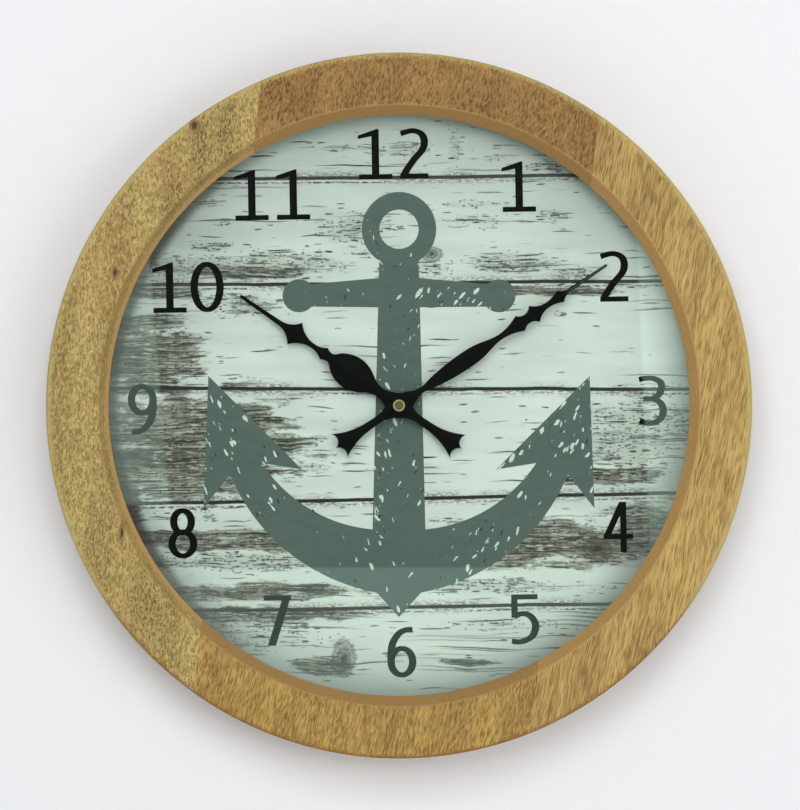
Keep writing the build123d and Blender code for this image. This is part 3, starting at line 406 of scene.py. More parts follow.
def plank_print():
    """Weathered, whitewashed planks printed on the sheet, with the frame's shadow painted on toward the
    edge.
    """
    paint = Finish("whitewashed_planks", Specular_IOR_Level=0.3)
    u, v = paint.dial()
    wander = paint.noise(paint.vector(u / 45, v / 400, 0.3), 3.0) - 0.5
    row = 0.0 * u
    gap = 100.0 + 0.0 * u
    under = 100.0 + 0.0 * u
    for height, slope in PLANK_GAPS:
        above = v - (height + slope * u) - wander * 1.6
        row = row + (above < 0.0)
        gap = gap.least(abs(above))
        under = under.least(abs(above + 2.3))
    u_row = u + row * 61.7
    level = v + (paint.noise(paint.vector(u_row / 38, v / 20, row + 3.0), 2.0) - 0.5) * 6.0
    stripe = paint.noise(paint.vector(u_row / 45, level / 1.2, row), 3.0, 0.6)
    speckle = paint.noise(paint.vector(u_row / 2.4, v / 1.0, row + 4.0), 3.0, 0.6)
    cloud = paint.noise(paint.vector(u_row / 26, v / 8, row + 2.0), 3.0, 0.6)
    stretch = paint.noise(paint.vector(u_row / 30, 0.7, row), 2.0).smooth(0.42, 0.6)
    ragged = (cloud - 0.5) * 2.4 + (speckle - 0.5) * 0.6
    bare = spread(u, v, BARE_PLACES, ragged)
    wear = spread(u, v, SCRATCHED_PLACES, ragged).most(0.8 * bare) + (cloud - 0.5) * 0.3
    lines = paint.dashes(paint.vector(u_row / 18, level / 1.1, row), 0.09 + 0.5 * wear)
    grain_share = 0.05 + 0.25 * wear + 0.4 * (row > 4.5)
    grain = paint.dashes(paint.vector(u_row / 70 + 1.3, level / 1.2, row), grain_share)
    ticks = paint.dashes(paint.vector(u_row / 6.0 + 2.7, level / 1.15, row), 0.05 + 0.7 * wear)
    dots = paint.dashes(paint.vector(u_row / 2.1, v / 1.2, row), 0.85 * wear - 0.05)
    flecks = paint.dashes(paint.vector(u_row / 6.0 + 5.1, level / 1.0, row), 0.6)
    tint = paint.noise(paint.vector(u_row / 70, v / 12, row), 2.0).smooth(0.3, 0.7)
    shade = paint.mix(tint, shaded(PAINT, 0.92), shaded(PAINT, 1.06))
    shade = paint.mix((wear + 0.6 * bare).smooth(0.3, 1.5) * 0.5, shade, STAIN)
    weathered = paint.mix((0.7 * stripe + 0.3 * speckle).smooth(0.4, 0.6), BARE_PALE, BARE_DARK)
    shade = paint.mix(bare.smooth(0.15, 0.6) * (stripe + cloud).smooth(0.7, 0.95), shade, weathered)
    shade = paint.mix(flecks * bare * 0.7, shade, PAINT)
    shade = paint.mix(dots * 0.85, shade, paint.mix(cloud.smooth(0.45, 0.65), SCRATCH, colour(84, 68, 60)))
    shade = paint.mix(ticks.most(lines).most(grain) * (0.5 + speckle), shade, SCRATCH)
    for place, half in KNOTS:
        core = oval(u, v, place, half) + (speckle - 0.5) * 0.8 + (cloud - 0.5) * 0.6
        rings = (core * 14.0).sine() * 0.5 + 0.5
        shade = paint.mix(core.smooth(1.25, 0.9) * (0.45 + 0.4 * rings), shade, colour(72, 68, 60))
        shade = paint.mix(core.smooth(0.5, 0.25) * 0.85, shade, colour(44, 40, 36))
    brown = gap.smooth(5.0, 0.6) * stretch * speckle.smooth(0.42, 0.56) * 0.8
    shade = paint.mix(brown, shade, colour(84, 66, 58))
    shade = paint.mix(under.smooth(0.7, 0.2) * (1.0 - stretch) * speckle.smooth(0.4, 0.55), shade, SCRATCH)
    shade = paint.mix((gap + (speckle - 0.5) * 0.6).smooth(1.15, 0.65), shade, colour(22, 18, 16))
    radius = (u * u + v * v).root()
    # Painted shadow of the frame on the dial: darker toward the edge all round, most strongly below, and
    # darker in the upper left and along the top
    edge = 0.5 * radius.smooth(128.0, 150.0) * (1.0 - 0.8 * v.smooth(-20.0, 100.0))
    corner = 0.2 * u.smooth(-60.0, -125.0) * v.smooth(10.0, 50.0)
    painted_frame_shadow = edge + corner + 0.12 * radius.smooth(90.0, 140.0) + 0.14 * v.smooth(40.0, 120.0)
    shade = paint.mix(painted_frame_shadow, shade, shaded(PAINT, 0.14))
    # Painted shadow along the dial's left edge, next to the frame
    painted_rim_shading = (radius + (speckle - 0.5) * 4.0).smooth(141.0, 146.0) * u.smooth(-60.0, -125.0)
    paint.set("Base Color", paint.mix(painted_rim_shading * 0.75, shade, colour(52, 44, 40)))
    paint.set("Roughness", 0.5 + 0.2 * wear)
    return paint.material


def printed_ink(name, shade, worn, amount):
    """Ink that lies on the print, a little uneven."""
    ink = Finish(name, Specular_IOR_Level=0.06)
    cloud = ink.noise(ink.scaled(9 * MM, 9 * MM, 3 * MM), 4.0, 0.6)
    grain = ink.noise(ink.scaled(3 * MM, 1 * MM, 0.5 * MM), 3.0, 0.6)
    ink.set("Base Color", ink.mix((0.6 * cloud + 0.4 * grain).smooth(0.35, 0.7) * amount, shade, worn))
    ink.set("Roughness", 0.45 + 0.2 * grain)
    return ink.material


# Plain finishes


def glass_finish():
    glass = Finish("lens_glass", Roughness=0.0, IOR=1.5, Transmission_Weight=1.0)
    glass.set("Base Color", colour(249, 252, 250))
    return glass.material


def hand_paint(name, node, wear):
    """Satin black paint, with a painted highlight by some share along the crease near the tip."""
    tip = max((vertex.co for vertex in NODES[node].data.vertices), key=off_axis)
    way = (tip - HUB) / off_axis(tip)
    reach = off_axis(tip) / MM
    paint = Finish(name, Specular_IOR_Level=0.05)
    u, v = paint.dial()
    aside = abs(u * way.z - v * way.x)
    along = u * way.x + v * way.z
    grit = paint.noise(paint.scaled(0.7 * MM, 0.7 * MM, 0.7 * MM), 3.0)
    # A pale painted highlight along the hand's crease near the tip, by the share given as wear
    ridge_highlight = aside.smooth(0.36, 0.1) * along.smooth(reach * 0.78, reach * 0.84) * (0.5 + grit)
    paint.set("Base Color", paint.mix(ridge_highlight * wear, colour(9, 10, 9), colour(120, 138, 130)))
    paint.set("Roughness", 0.42 + 0.16 * grit)
    paint.bump(grit, 0.05 * MM, 0.4)
    return paint.material


def metal_finish(name, shade, worn, roughness, brushed=0.0):
    """Bare or plated metal with faint clouding and fine scratches."""
    metal = Finish(name, Metallic=1.0)
    cloud = metal.noise(metal.scaled(4 * MM, 4 * MM, 4 * MM), 4.0, 0.6).smooth(0.3, 0.7)
    lines = metal.noise(metal.scaled(6 * MM, 0.3 * MM, 0.25 * MM), 2.0)
    metal.set("Base Color", metal.mix(cloud * 0.6, shade, worn))
    metal.set("Roughness", roughness + 0.12 * cloud + brushed * lines)
    metal.bump(lines * brushed + cloud * 0.1, 0.03 * MM, 0.4)
    return metal.material


def plastic_finish(name, shade, worn, roughness, texture):
    """Moulded plastic with a fine spark-eroded texture."""
    plastic = Finish(name)
    grit = plastic.noise(plastic.scaled(texture, texture, texture), 3.0)
    cloud = plastic.noise(plastic.scaled(12 * MM, 12 * MM, 12 * MM), 3.0).smooth(0.3, 0.7)
    plastic.set("Base Color", plastic.mix(0.5 * cloud + 0.3 * grit, shade, worn))
    plastic.set("Roughness", roughness + 0.15 * grit)
    plastic.bump(grit, 0.05 * MM, 0.5)
    return plastic.material


def board_finish(name, shade, worn, fleck):
    """Pressed fibre board with pale and dark fibres."""
    board = Finish(name, Specular_IOR_Level=0.25)
    fibre = board.noise(board.scaled(2.2 * MM, 1 * MM, 0.8 * MM), 4.0, 0.65)
    cloud = board.noise(board.scaled(30 * MM, 30 * MM, 30 * MM), 3.0).smooth(0.3, 0.7)
    tone = board.mix(cloud * 0.6, shade, worn)
    board.set("Base Color", board.mix(fibre.smooth(0.56, 0.72) * 0.7, tone, fleck))
    board.set("Roughness", 0.78 + 0.12 * fibre)
    board.bump(fibre, 0.08 * MM, 0.6)
    return board.material


def cell_jacket():
    """The cell's printed foil: plain bands, with bare metal ends."""
    jacket = Finish("cell_jacket", Coat_Weight=0.3, Coat_Roughness=0.2)
    low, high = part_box("battery")
    share = (jacket.x - low.x) / (high.x - low.x)
    scuff = jacket.noise(jacket.scaled(6 * MM, 1.2 * MM, 1.2 * MM), 4.0, 0.6).smooth(0.45, 0.75)
    band = share.smooth(0.70, 0.705) * share.smooth(0.80, 0.795)
    ends = share.smooth(0.978, 0.981).most(share.smooth(0.012, 0.008))
    shade = jacket.mix(band, colour(168, 170, 168), colour(66, 72, 76))
    shade = jacket.mix(scuff * 0.25, shade, colour(120, 120, 118))
    jacket.set("Base Color", jacket.mix(ends, shade, colour(176, 176, 172)))
    jacket.set("Metallic", 0.35 + 0.6 * ends)
    jacket.set("Roughness", 0.3 + 0.15 * scuff)
    return jacket.material


def nut_brass():
    """Turned brass, with a darker dish in the middle."""
    brass = Finish("nut_brass", Metallic=1.0)
    u, v = brass.dial()
    radius = (u * u + v * v).root()
    rings = brass.noise(brass.vector(radius * 9.0, 0.0, 0.0), 2.0)
    cloud = brass.noise(brass.scaled(1.5 * MM, 1.5 * MM, 1.5 * MM), 3.0)
    bright = brass.mix(cloud * 0.5, colour(226, 206, 150), colour(190, 160, 96))
    aged = brass.mix(cloud, colour(112, 106, 70), colour(84, 80, 54))
    brass.set("Base Color", brass.mix(radius.smooth(2.35, 2.15), bright, aged))
    brass.set("Roughness", 0.26 + 0.2 * rings)
    brass.bump(rings, 0.03 * MM, 0.5)
    return brass.material


def laminate_finish():
    """Green circuit laminate with a faint weave."""
    board = Finish("board_laminate", Coat_Weight=0.4, Coat_Roughness=0.2)
    pitch = math.pi / (0.35 * MM)
    weave = (board.x * pitch).sine() * (board.z * pitch).sine() * 0.5 + 0.5
    cloud = board.noise(board.scaled(5 * MM, 5 * MM, 5 * MM), 3.0)
    board.set("Base Color", board.mix(0.3 * weave + 0.4 * cloud, colour(30, 92, 54), colour(22, 68, 42)))
    board.set("Roughness", 0.4 + 0.1 * weave)
    return board.material


# Strokes and outlines on the dial, in millimetres


def through(points, steps=8):
    """A smooth line through the points."""
    ends = [Vector(point) for point in (points[0], *points, points[-1])]
    line = []
    for a, b, c, d in zip(ends, ends[1:], ends[2:], ends[3:]):
        for step in range(steps):
            t = step / steps
            bend = 2 * a - 5 * b + 4 * c - d + t * (3 * (b - c) + d - a)
            line.append(b + 0.5 * t * (c - a + t * bend))
    return [*line, ends[-1]]


def arc(centre, half, start, end, steps=48):
    """Part of an oval, between two angles in degrees."""
    turns = [math.radians(start + (end - start) * step / steps) for step in range(steps + 1)]
    across, up = centre
    wide, high = half
    return [Vector((across + wide * math.cos(turn), up + high * math.sin(turn))) for turn in turns]


def stroke(line, width):
    """The outline of a stroke along a line; width is a function of the share run and the side's way."""
    left, right = [], []
    for i, point in enumerate(line):
        way = (line[min(i + 1, len(line) - 1)] - line[max(i - 1, 0)]).normalized()
        side = Vector((-way.y, way.x))
        half = width(i / (len(line) - 1), side) / 2
        left.append(point + side * half)
        right.append(point - side * half)
    return left + right[::-1]


def pen(share, side):
    """The numerals' stroke width: more across than up."""
    return math.hypot(STEM * side.x, BAR * side.y)


def oval_stroke(centre, half, width):
    """An oval stroke, as two halves that overlap a little."""
    return [stroke(arc(centre, half, start, start + 190.0), width) for start in (-5.0, 175.0)]


def slanted(top, bottom, width):
    """A straight stroke cut level at both ends."""
    half = width / 2
    return [(top[0] - half, top[1]), (bottom[0] - half, bottom[1]), (bottom[0] + half, bottom[1]),
            (top[0] + half, top[1])]


def bar_stroke(left, right, middle):
    """A level stroke."""
    low, high = middle - BAR / 2, middle + BAR / 2
    return [(left, low), (right, low), (right, high), (left, high)]


def figure_outlines():
    """The outlines of the ten figures, each about its own middle."""
    half = STEM / 2
    flag = [(half, TOP), (0.9, TOP), (-8.8, TOP - 3.2), (-8.8, TOP - 5.0), (-half, TOP - 3.7),
            (-half, -TOP), (half, -TOP)]
    swan = through([(-6.7, 10.2), (-3.4, 11.2), (0.2, HIGH), (3.9, 9.9), (5.4, 6.2), (4.3, 1.9),
                    (-0.1, -3.2), (-3.7, -8.2), (-5.3, -11.2)])
    upper = through([(-6.8, 10.9), (-3.2, 11.5), (0.6, 11.3), (4.0, 9.4), (4.6, 6.6), (3.2, 3.2),
                     (0.2, 1.2), (-4.8, 0.8)])
    lower = through([(-4.8, 0.8), (0.4, 0.8), (3.9, -1.2), (5.3, -4.9), (4.2, -8.8), (0.6, -11.2),
                     (-2.8, -11.4), (-6.8, -10.1)])
    belly = through([(-5.5, 1.6), (-1.8, 3.0), (2.2, 2.0), (4.9, -1.4), (5.1, -4.9), (3.4, -8.6),
                     (-0.6, -10.9), (-4.0, -11.4), (-7.0, -10.9)])
    tail = through([(5.7, 11.6), (2.4, 11.4), (-1.0, 9.8), (-4.2, 5.5), (-5.4, 0.4), (-5.5, -4.8)])
    six = [stroke(tail, pen), *oval_stroke((0.0, -4.8), (5.5, HIGH - 4.8), pen)]
    return {
        "0": oval_stroke((0.0, 0.0), (6.6, HIGH), pen),
        "1": [flag, bar_stroke(-8.5, 8.5, -HIGH)],
        "2": [stroke(swan, pen), bar_stroke(-7.2, 7.2, -HIGH)],
        "3": [stroke(upper, pen), stroke(lower, pen)],
        "4": [slanted((2.6, TOP), (2.6, -TOP), 3.2), bar_stroke(-7.5, 7.5, -4.8),
              slanted((2.4, TOP), (-6.0, -4.8), 3.6)],
        "5": [bar_stroke(-7.0, 6.5, HIGH), slanted((-5.4, TOP), (-5.4, 1.0), 3.2), stroke(belly, pen)],
        "6": six,
        "7": [bar_stroke(-7.0, 7.0, HIGH), slanted((5.1, TOP), (-3.2, -TOP), 4.1)],
        "8": [*oval_stroke((0.0, 5.9), (4.5, HIGH - 5.9), pen),
              *oval_stroke((0.0, -5.4), (5.5, HIGH - 5.4), pen)],
        "9": [[(-point[0], -point[1]) for point in outline] for outline in six],
    }


def numeral_outlines(hour, figures):
    """One hour's figures side by side at their place on the dial, which is turned a little."""
    names = str(hour)
    halves = [HALF_ADVANCE.get(name, PLAIN_ADVANCE) for name in names]
    places = [0.0]
    for before, after in zip(halves, halves[1:]):
        places.append(places[-1] + before + after)
    hour_turn = math.radians(30 * hour)
    middle = NUMERAL_RADIUS * Vector((math.sin(hour_turn), math.cos(hour_turn)))
    middle += Vector(NUMERAL_SHIFTS.get(hour, (0.0, 0.0)))
    outlines = []
    for name, place in zip(names, places):
        start = middle + Vector((place - places[-1] / 2, 0.0))
        outlines += [[DIAL_TURN @ (start + Vector(point)) for point in outline] for outline in figures[name]]
    return outlines


def anchor_outlines():
    """A plain traditional anchor: ring, stock, shank, crown, arms and flukes."""
    shank = stroke([Vector((0.0, 78.0)), Vector((0.0, -84.0))], lambda share, side: 20.0 + 8.0 * share)
    line = [Vector((-50.0, 56.0)), Vector((0.0, 58.0)), Vector((50.0, 56.0))]
    stock = stroke(line, lambda share, side: 16.0 - 10.0 * abs(share - 0.5))
    ends = [arc((x, 56.0), (8.5, 8.5), 0.0, 345.0, 23) for x in (-51.0, 51.0)]
    bend = arc((0.0, 8.0), (88.0, 88.0), 200.0, 340.0)
    arms = stroke(bend, lambda share, side: 34.0 - 38.0 * abs(share - 0.5))
    way = (bend[-1] - bend[-2]).normalized()
    side = Vector((way.y, -way.x))
    fluke = [bend[-1] + 40.0 * way, bend[-1] - 22.0 * way - 27.0 * side, bend[-1] - 6.0 * way,
             bend[-1] - 22.0 * way + 27.0 * side]
    flukes = [fluke, [Vector((-point.x, point.y)) for point in fluke]]
    crown = [(-20.0, -86.0), (0.0, -108.0), (20.0, -86.0)]
    ring = oval_stroke((0.0, 90.0), (14.5, 14.5), lambda share, side: 9.0)
    return [*ring, shank, stock, *ends, arms, *flukes, crown]


# Meshes


def wraps(outline, point):
    """Whether a closed outline goes round a point."""
    turns = 0
    for a, b in zip(outline, outline[1:] + outline[:1]):
        side = (b[0] - a[0]) * (point.y - a[1]) - (b[1] - a[1]) * (point.x - a[0])
        turns += (a[1] <= point.y < b[1] and side > 0) - (b[1] <= point.y < a[1] and side < 0)
    return turns != 0


def printed_mesh(name, outlines, thickness):
    """A thin closed solid on the dial's face that covers a set of overlapping outlines."""
    corners, edges = [], []
    for outline in outlines:
        count, start = len(outline), len(corners)
        corners += [Vector(point) for point in outline]
        edges += [(start + i, start + (i + 1) % count) for i in range(count)]
    points, _, cells, *_ = delaunay_2d_cdt(corners, edges, [], 0, WELD)
    form = bmesh.new()
    corners = [form.verts.new((HUB.x + point.x * MM, DIAL_FACE, HUB.z + point.y * MM)) for point in points]
    for cell in cells:
        middle = sum((points[i] for i in cell), Vector((0.0, 0.0))) / len(cell)
        if any(wraps(outline, middle) for outline in outlines):
            form.faces.new([corners[i] for i in cell])
    bmesh.ops.delete(form, geom=[corner for corner in form.verts if not corner.link_faces], context="VERTS")
    raised = bmesh.ops.extrude_face_region(form, geom=form.faces[:])["geom"]
    for corner in raised:
        if isinstance(corner, bmesh.types.BMVert):
            corner.co.y -= thickness * MM
    bmesh.ops.recalc_face_normals(form, faces=form.faces[:])
    mesh = bpy.data.meshes.new(name)
    form.to_mesh(mesh)
    form.free()
    return mesh


def piece(name, mesh, material, body="clock_body"):
    """A finished piece that rides on a body."""
    thing = bpy.data.objects.new(name, mesh)
    bpy.context.scene.collection.objects.link(thing)
    mesh.materials.clear()
    mesh.materials.append(material)
    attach(thing, body)
    return thing


def dress(node, material):
    """A finish on a CAD node's own mesh."""
    mesh = NODES[node].data
    mesh.materials.clear()
    mesh.materials.append(material)


# Geometry Nodes


def group(name, sizes):
    """A geometry tree with named inputs, and the wires that carry them."""
    graph = bpy.data.node_groups.new(name, "GeometryNodeTree")
    graph.interface.new_socket("Geometry", in_out="OUTPUT", socket_type="NodeSocketGeometry")
    graph.interface.new_socket("Geometry", in_out="INPUT", socket_type="NodeSocketGeometry")
    kinds = {float: "NodeSocketFloat", int: "NodeSocketInt", bpy.types.Material: "NodeSocketMaterial"}
    for title, value in sizes.items():
        graph.interface.new_socket(title, in_out="INPUT", socket_type=kinds[type(value)])
    tree = Tree(graph)
    start = graph.nodes.new("NodeGroupInput")
    return tree, {socket.name: Wire(tree, socket) for socket in start.outputs if socket.name}


def grown(name, tree, sizes, ground, result):
    """The mesh that a geometry tree makes from a ground mesh, with its named inputs set."""
    graph = tree.graph
    tree.add("NodeGroupOutput", inputs={"Geometry": result})
    thing = bpy.data.objects.new(name, ground)
    bpy.context.scene.collection.objects.link(thing)
    modifier = thing.modifiers.new(name, "NODES")
    modifier.node_group = graph
    for item in graph.interface.items_tree:
        if item.in_out == "INPUT" and item.name in sizes:
            modifier[item.identifier] = sizes[item.name]
    mesh = bpy.data.meshes.new_from_object(thing.evaluated_get(bpy.context.evaluated_depsgraph_get()))
    bpy.data.objects.remove(thing)
    mesh.name = name
    return mesh


def paint_chips(name, ground, sizes):
    """Small irregular chips scattered over a print's front."""
    tree, size = group(name, sizes)
    normal = tree.add("GeometryNodeInputNormal")
    facing = tree.add("ShaderNodeSeparateXYZ", inputs={0: normal}, output="Y")
    front = tree.add("FunctionNodeCompare", {"operation": "LESS_THAN"}, {"A": facing, "B": -0.5})
    place = tree.add("GeometryNodeInputPosition")
    flat = tree.add("ShaderNodeVectorMath", {"operation": "MULTIPLY"}, {0: place, 1: (1.0, 0.0, 1.0)})
    crowd = tree.add("ShaderNodeTexNoise", inputs={"Vector": flat, "Scale": 45.0, "Detail": 2.0})
    density = size["Density"] * crowd.smooth(0.45, 0.75)
    points = tree.add("GeometryNodeDistributePointsOnFaces", inputs={
        "Mesh": size["Geometry"], "Selection": front, "Density": density, "Seed": size["Seed"]})
    chip = tree.add("GeometryNodeMeshCylinder", inputs={
        "Vertices": CHIP_CORNERS, "Side Segments": 1, "Fill Segments": 1, "Radius": 1.0,
        "Depth": size["Thickness"]})
    chip = tree.add("GeometryNodeTransform", inputs={"Geometry": chip, "Rotation": (math.pi / 2, 0.0, 0.0)})

    def chance(low, high, seed):
        """An even random number for each chip."""
        values = {2: low, 3: high, "Seed": seed}
        return tree.add("FunctionNodeRandomValue", {"data_type": "FLOAT"}, values, 1)

    length = chance(0.0, 1.0, 3)
    slim = chance(0.16, 0.42, 5)
    lean = chance(0.1, 0.8, 8)
    stretch = size["Least"] + (size["Most"] - size["Least"]) * length * length
    side = tree.add("ShaderNodeSeparateXYZ", inputs={0: place}) > HUB.x
    scale = tree.add("ShaderNodeCombineXYZ", inputs={0: stretch * slim, 1: 1.0, 2: stretch})
    turn = tree.add("ShaderNodeCombineXYZ", inputs={1: lean * (2.0 * side - 1.0)})
    turn = tree.add("FunctionNodeEulerToRotation", inputs={0: turn})
    chips = tree.add("GeometryNodeInstanceOnPoints", inputs={
        "Points": points, "Instance": chip, "Rotation": turn, "Scale": scale})
    chips = tree.add("GeometryNodeRealizeInstances", inputs={0: chips})
    ragged = tree.add("ShaderNodeTexNoise", inputs={
        "Vector": flat, "Scale": 700.0, "Detail": 2.0}, output="Color")
    push = tree.add("ShaderNodeVectorMath", {"operation": "SUBTRACT"}, {0: ragged, 1: (0.5, 0.5, 0.5)})
    push = tree.add("ShaderNodeVectorMath", {"operation": "MULTIPLY"}, {0: push, 1: (2 * MM, 0.0, 2 * MM)})
    chips = tree.add("GeometryNodeSetPosition", inputs={"Geometry": chips, "Offset": push})
    chips = tree.add("GeometryNodeSetMaterial", inputs={"Geometry": chips, "Material": size["Finish"]})
    return grown(name, tree, sizes, ground, chips)


def wire_turns(name, sizes, middle):
    """The coil's outer layer of wire, wound along x about a middle point."""
    tree, size = group(name, sizes)
    line = tree.add("GeometryNodeCurveSpiral", inputs={
        "Resolution": 20, "Rotations": size["Turns"], "Start Radius": size["Radius"],
        "End Radius": size["Radius"], "Height": size["Length"]})
    line = tree.add("GeometryNodeTransform", inputs={"Geometry": line, "Rotation": (0.0, math.pi / 2, 0.0)})
    line = tree.add("GeometryNodeTransform", inputs={"Geometry": line, "Translation": middle})
    round_wire = tree.add("GeometryNodeCurvePrimitiveCircle", {"mode": "RADIUS"}, {
        "Resolution": 6, "Radius": size["Wire"]})
    tube = tree.add("GeometryNodeCurveToMesh", inputs={0: line, 1: round_wire, "Fill Caps": True})
    tube = tree.add("GeometryNodeRealizeInstances", inputs={0: tube})
    tube = tree.add("GeometryNodeSetMaterial", inputs={"Geometry": tube, "Material": size["Finish"]})
    return grown(name, tree, sizes, bpy.data.meshes.new(name + "_ground"), tube)


# Frame and glass
# The last tone given to each stave darkens or lightens its sealed bevel, partly as painted light and shade
dress("frame_left_stave", stave_wood(
    "wood_left", colour(164, 144, 86), tilt=math.radians(4.0), wave=3.0, pore=(0.8, 3.2), seed=11.0,
    sealed=0.1, seal_tone_and_light=1.2, patches=LEFT_PATCHES, knots=LEFT_KNOTS))
dress("frame_top_stave", stave_wood(
    "wood_top", colour(138, 104, 51), tilt=math.radians(14.0), wave=9.0, pore=(0.75, 3.6), seed=47.0,
    sealed=1.0, seal_tone_and_light=0.88, patches=TOP_PATCHES))
dress("frame_right_stave", stave_wood(
    "wood_right", colour(165, 138, 78), tilt=math.radians(11.0), wave=3.0, pore=(0.6, 13.0), seed=83.0,
    sealed=1.0, seal_tone_and_light=1.12, patches=RIGHT_PATCHES))
dress("frame_bottom_stave", stave_wood(
    "wood_bottom", colour(161, 131, 67), tilt=math.radians(15.0), wave=4.0, pore=(0.7, 6.5), seed=29.0,
    sealed=1.0, seal_tone_and_light=0.85))
dress("glass_lens", glass_finish())
NODES["glass_lens"].visible_shadow = False
dress("glass_spacer_ring", board_finish("spacer_board", colour(176, 170, 156), colour(150, 144, 130),
                                        colour(110, 104, 92)))

# Dial
dress("dial_print", plank_print())
dress("dial_board", board_finish("dial_mdf", colour(146, 112, 76), colour(122, 92, 60), colour(84, 60, 38)))
FIGURES = figure_outlines()
NUMERAL_INK = printed_ink("numeral_ink", colour(8, 9, 8), colour(18, 20, 18), 0.5)
for hour in range(1, 13):
    numeral = printed_mesh(f"numeral_{hour}", numeral_outlines(hour, FIGURES), INK)
    piece(f"numeral_{hour}", numeral, NUMERAL_INK)
ANCHOR = printed_mesh("anchor_print", anchor_outlines(), INK / 2)
ANCHOR_INK = printed_ink("anchor_ink", colour(90, 106, 100), colour(82, 98, 92), 0.8)
piece("anchor_print", ANCHOR, ANCHOR_INK)
CHIP_FINISHES = {
    "pale_chips": printed_ink("pale_chip", colour(206, 222, 212), colour(182, 202, 192), 0.6),
    "dark_chips": printed_ink("dark_chip", colour(46, 47, 44), colour(76, 72, 64), 0.6),
}
for name, (density, most, seed) in CHIPS.items():
    finish = CHIP_FINISHES[name]
    chips = paint_chips(name, ANCHOR, {
        "Density": density, "Seed": seed, "Thickness": CHIP_INK * MM, "Least": LEAST_CHIP * MM,
        "Most": most * MM, "Finish": finish})
    piece(name, chips, finish)

# Hands
# The minute hand gets a painted highlight along its crease; the hour hand none
dress("hour_hand", hand_paint("hour_hand_paint", "hour_hand", 0.0))
dress("minute_hand", hand_paint("minute_hand_paint", "minute_hand", 0.4))
dress("hand_nut", nut_brass())

# Metal fittings
ZINC = metal_finish("zinc_steel", colour(190, 192, 190), colour(150, 154, 156), 0.34, 0.1)
BRASS = metal_finish("shaft_brass", colour(206, 172, 104), colour(168, 132, 72), 0.28, 0.1)
BLACK_STEEL = metal_finish("black_steel", colour(40, 40, 42), colour(24, 24, 26), 0.4)
NICKEL = metal_finish("contact_nickel", colour(196, 192, 182), colour(164, 160, 150), 0.26)
IRON = metal_finish("soft_iron", colour(132, 132, 130), colour(104, 104, 104), 0.42, 0.1)
for node in ("retaining_clips", "clip_screws", "hanger_plate", "hanger_screws", "bridge_screws"):
    dress(node, ZINC)
for node in ("threaded_bushing", "hour_hand_collet", "minute_arbor", "clutch_spring"):
    dress(node, BRASS)
for node in ("dial_washer", "hex_nut"):
    dress(node, BLACK_STEEL)
for node in ("battery_contact_positive", "battery_contact_negative"):
    dress(node, NICKEL)
for node in ("stator", "coil_core"):
    dress(node, IRON)
dress("rotor_magnet", metal_finish("magnet", colour(84, 84, 88), colour(62, 62, 66), 0.36))
dress("quartz_crystal", metal_finish("crystal_can", colour(200, 202, 204), colour(172, 174, 178), 0.22))

# Movement
CASE_PLASTIC = plastic_finish("case_plastic", colour(30, 30, 32), colour(42, 42, 44), 0.5, 0.25 * MM)
GEAR_PLASTIC = plastic_finish("gear_plastic", colour(226, 222, 208), colour(204, 200, 186), 0.38, 0.4 * MM)
for node in ("movement_front_case", "movement_back_cover", "wheel_bridge"):
    dress(node, CASE_PLASTIC)
for node in ("hour_wheel", "motion_wheel", "centre_wheel", "third_wheel", "second_wheel", "fifth_wheel",
             "rotor_pinion"):
    dress(node, GEAR_PLASTIC)
dress("setting_knob", plastic_finish(
    "knob_plastic", colour(208, 204, 192), colour(184, 180, 168), 0.42, 0.3 * MM))
dress("rubber_washer", plastic_finish(
    "washer_rubber", colour(26, 26, 26), colour(40, 39, 38), 0.72, 0.2 * MM))
dress("driver_chip", plastic_finish("chip_resin", colour(20, 20, 22), colour(34, 33, 33), 0.3, 0.6 * MM))
dress("circuit_board", laminate_finish())
dress("battery", cell_jacket())
COPPER = metal_finish("copper_wire", colour(196, 110, 62), colour(156, 78, 40), 0.3)
dress("coil_winding", COPPER)
coil_low, coil_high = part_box("coil_winding")
COIL_FLANGE = 0.9 * MM
COIL_WIRE = 0.12 * MM
COIL_PITCH = 2.2 * COIL_WIRE
COIL_DEPTH = 0.32 * MM
COIL_SPAN = coil_high.x - coil_low.x - 2 * COIL_FLANGE
COIL_RADIUS = (coil_high.z - coil_low.z) / 2 - COIL_DEPTH
COIL_MIDDLE = Vector((
    coil_low.x + COIL_FLANGE, (coil_low.y + coil_high.y) / 2, (coil_low.z + coil_high.z) / 2))
turns = wire_turns("coil_wire", {
    "Turns": COIL_SPAN / COIL_PITCH, "Radius": COIL_RADIUS, "Length": COIL_SPAN, "Wire": COIL_WIRE,
    "Finish": COPPER}, COIL_MIDDLE)
piece("coil_wire", turns, COPPER)


# Stage, light and camera


def stage_plane(name, middle, half, normal_to, material):
    """A rectangle of the stage, facing along one axis."""
    form = bmesh.new()
    bmesh.ops.create_grid(form, x_segments=1, y_segments=1, size=1.0)
    for corner in form.verts:
        across, up = corner.co.x * half[0], corner.co.y * half[1]
        flat = Vector((across, up, 0.0)) if normal_to == "Z" else Vector((across, 0.0, up))
        corner.co = Vector(middle) + flat
    mesh = bpy.data.meshes.new(name)
    form.to_mesh(mesh)
    form.free()
    mesh.materials.append(material)
    plane = bpy.data.objects.new(name, mesh)
    bpy.context.scene.collection.objects.link(plane)
    return plane


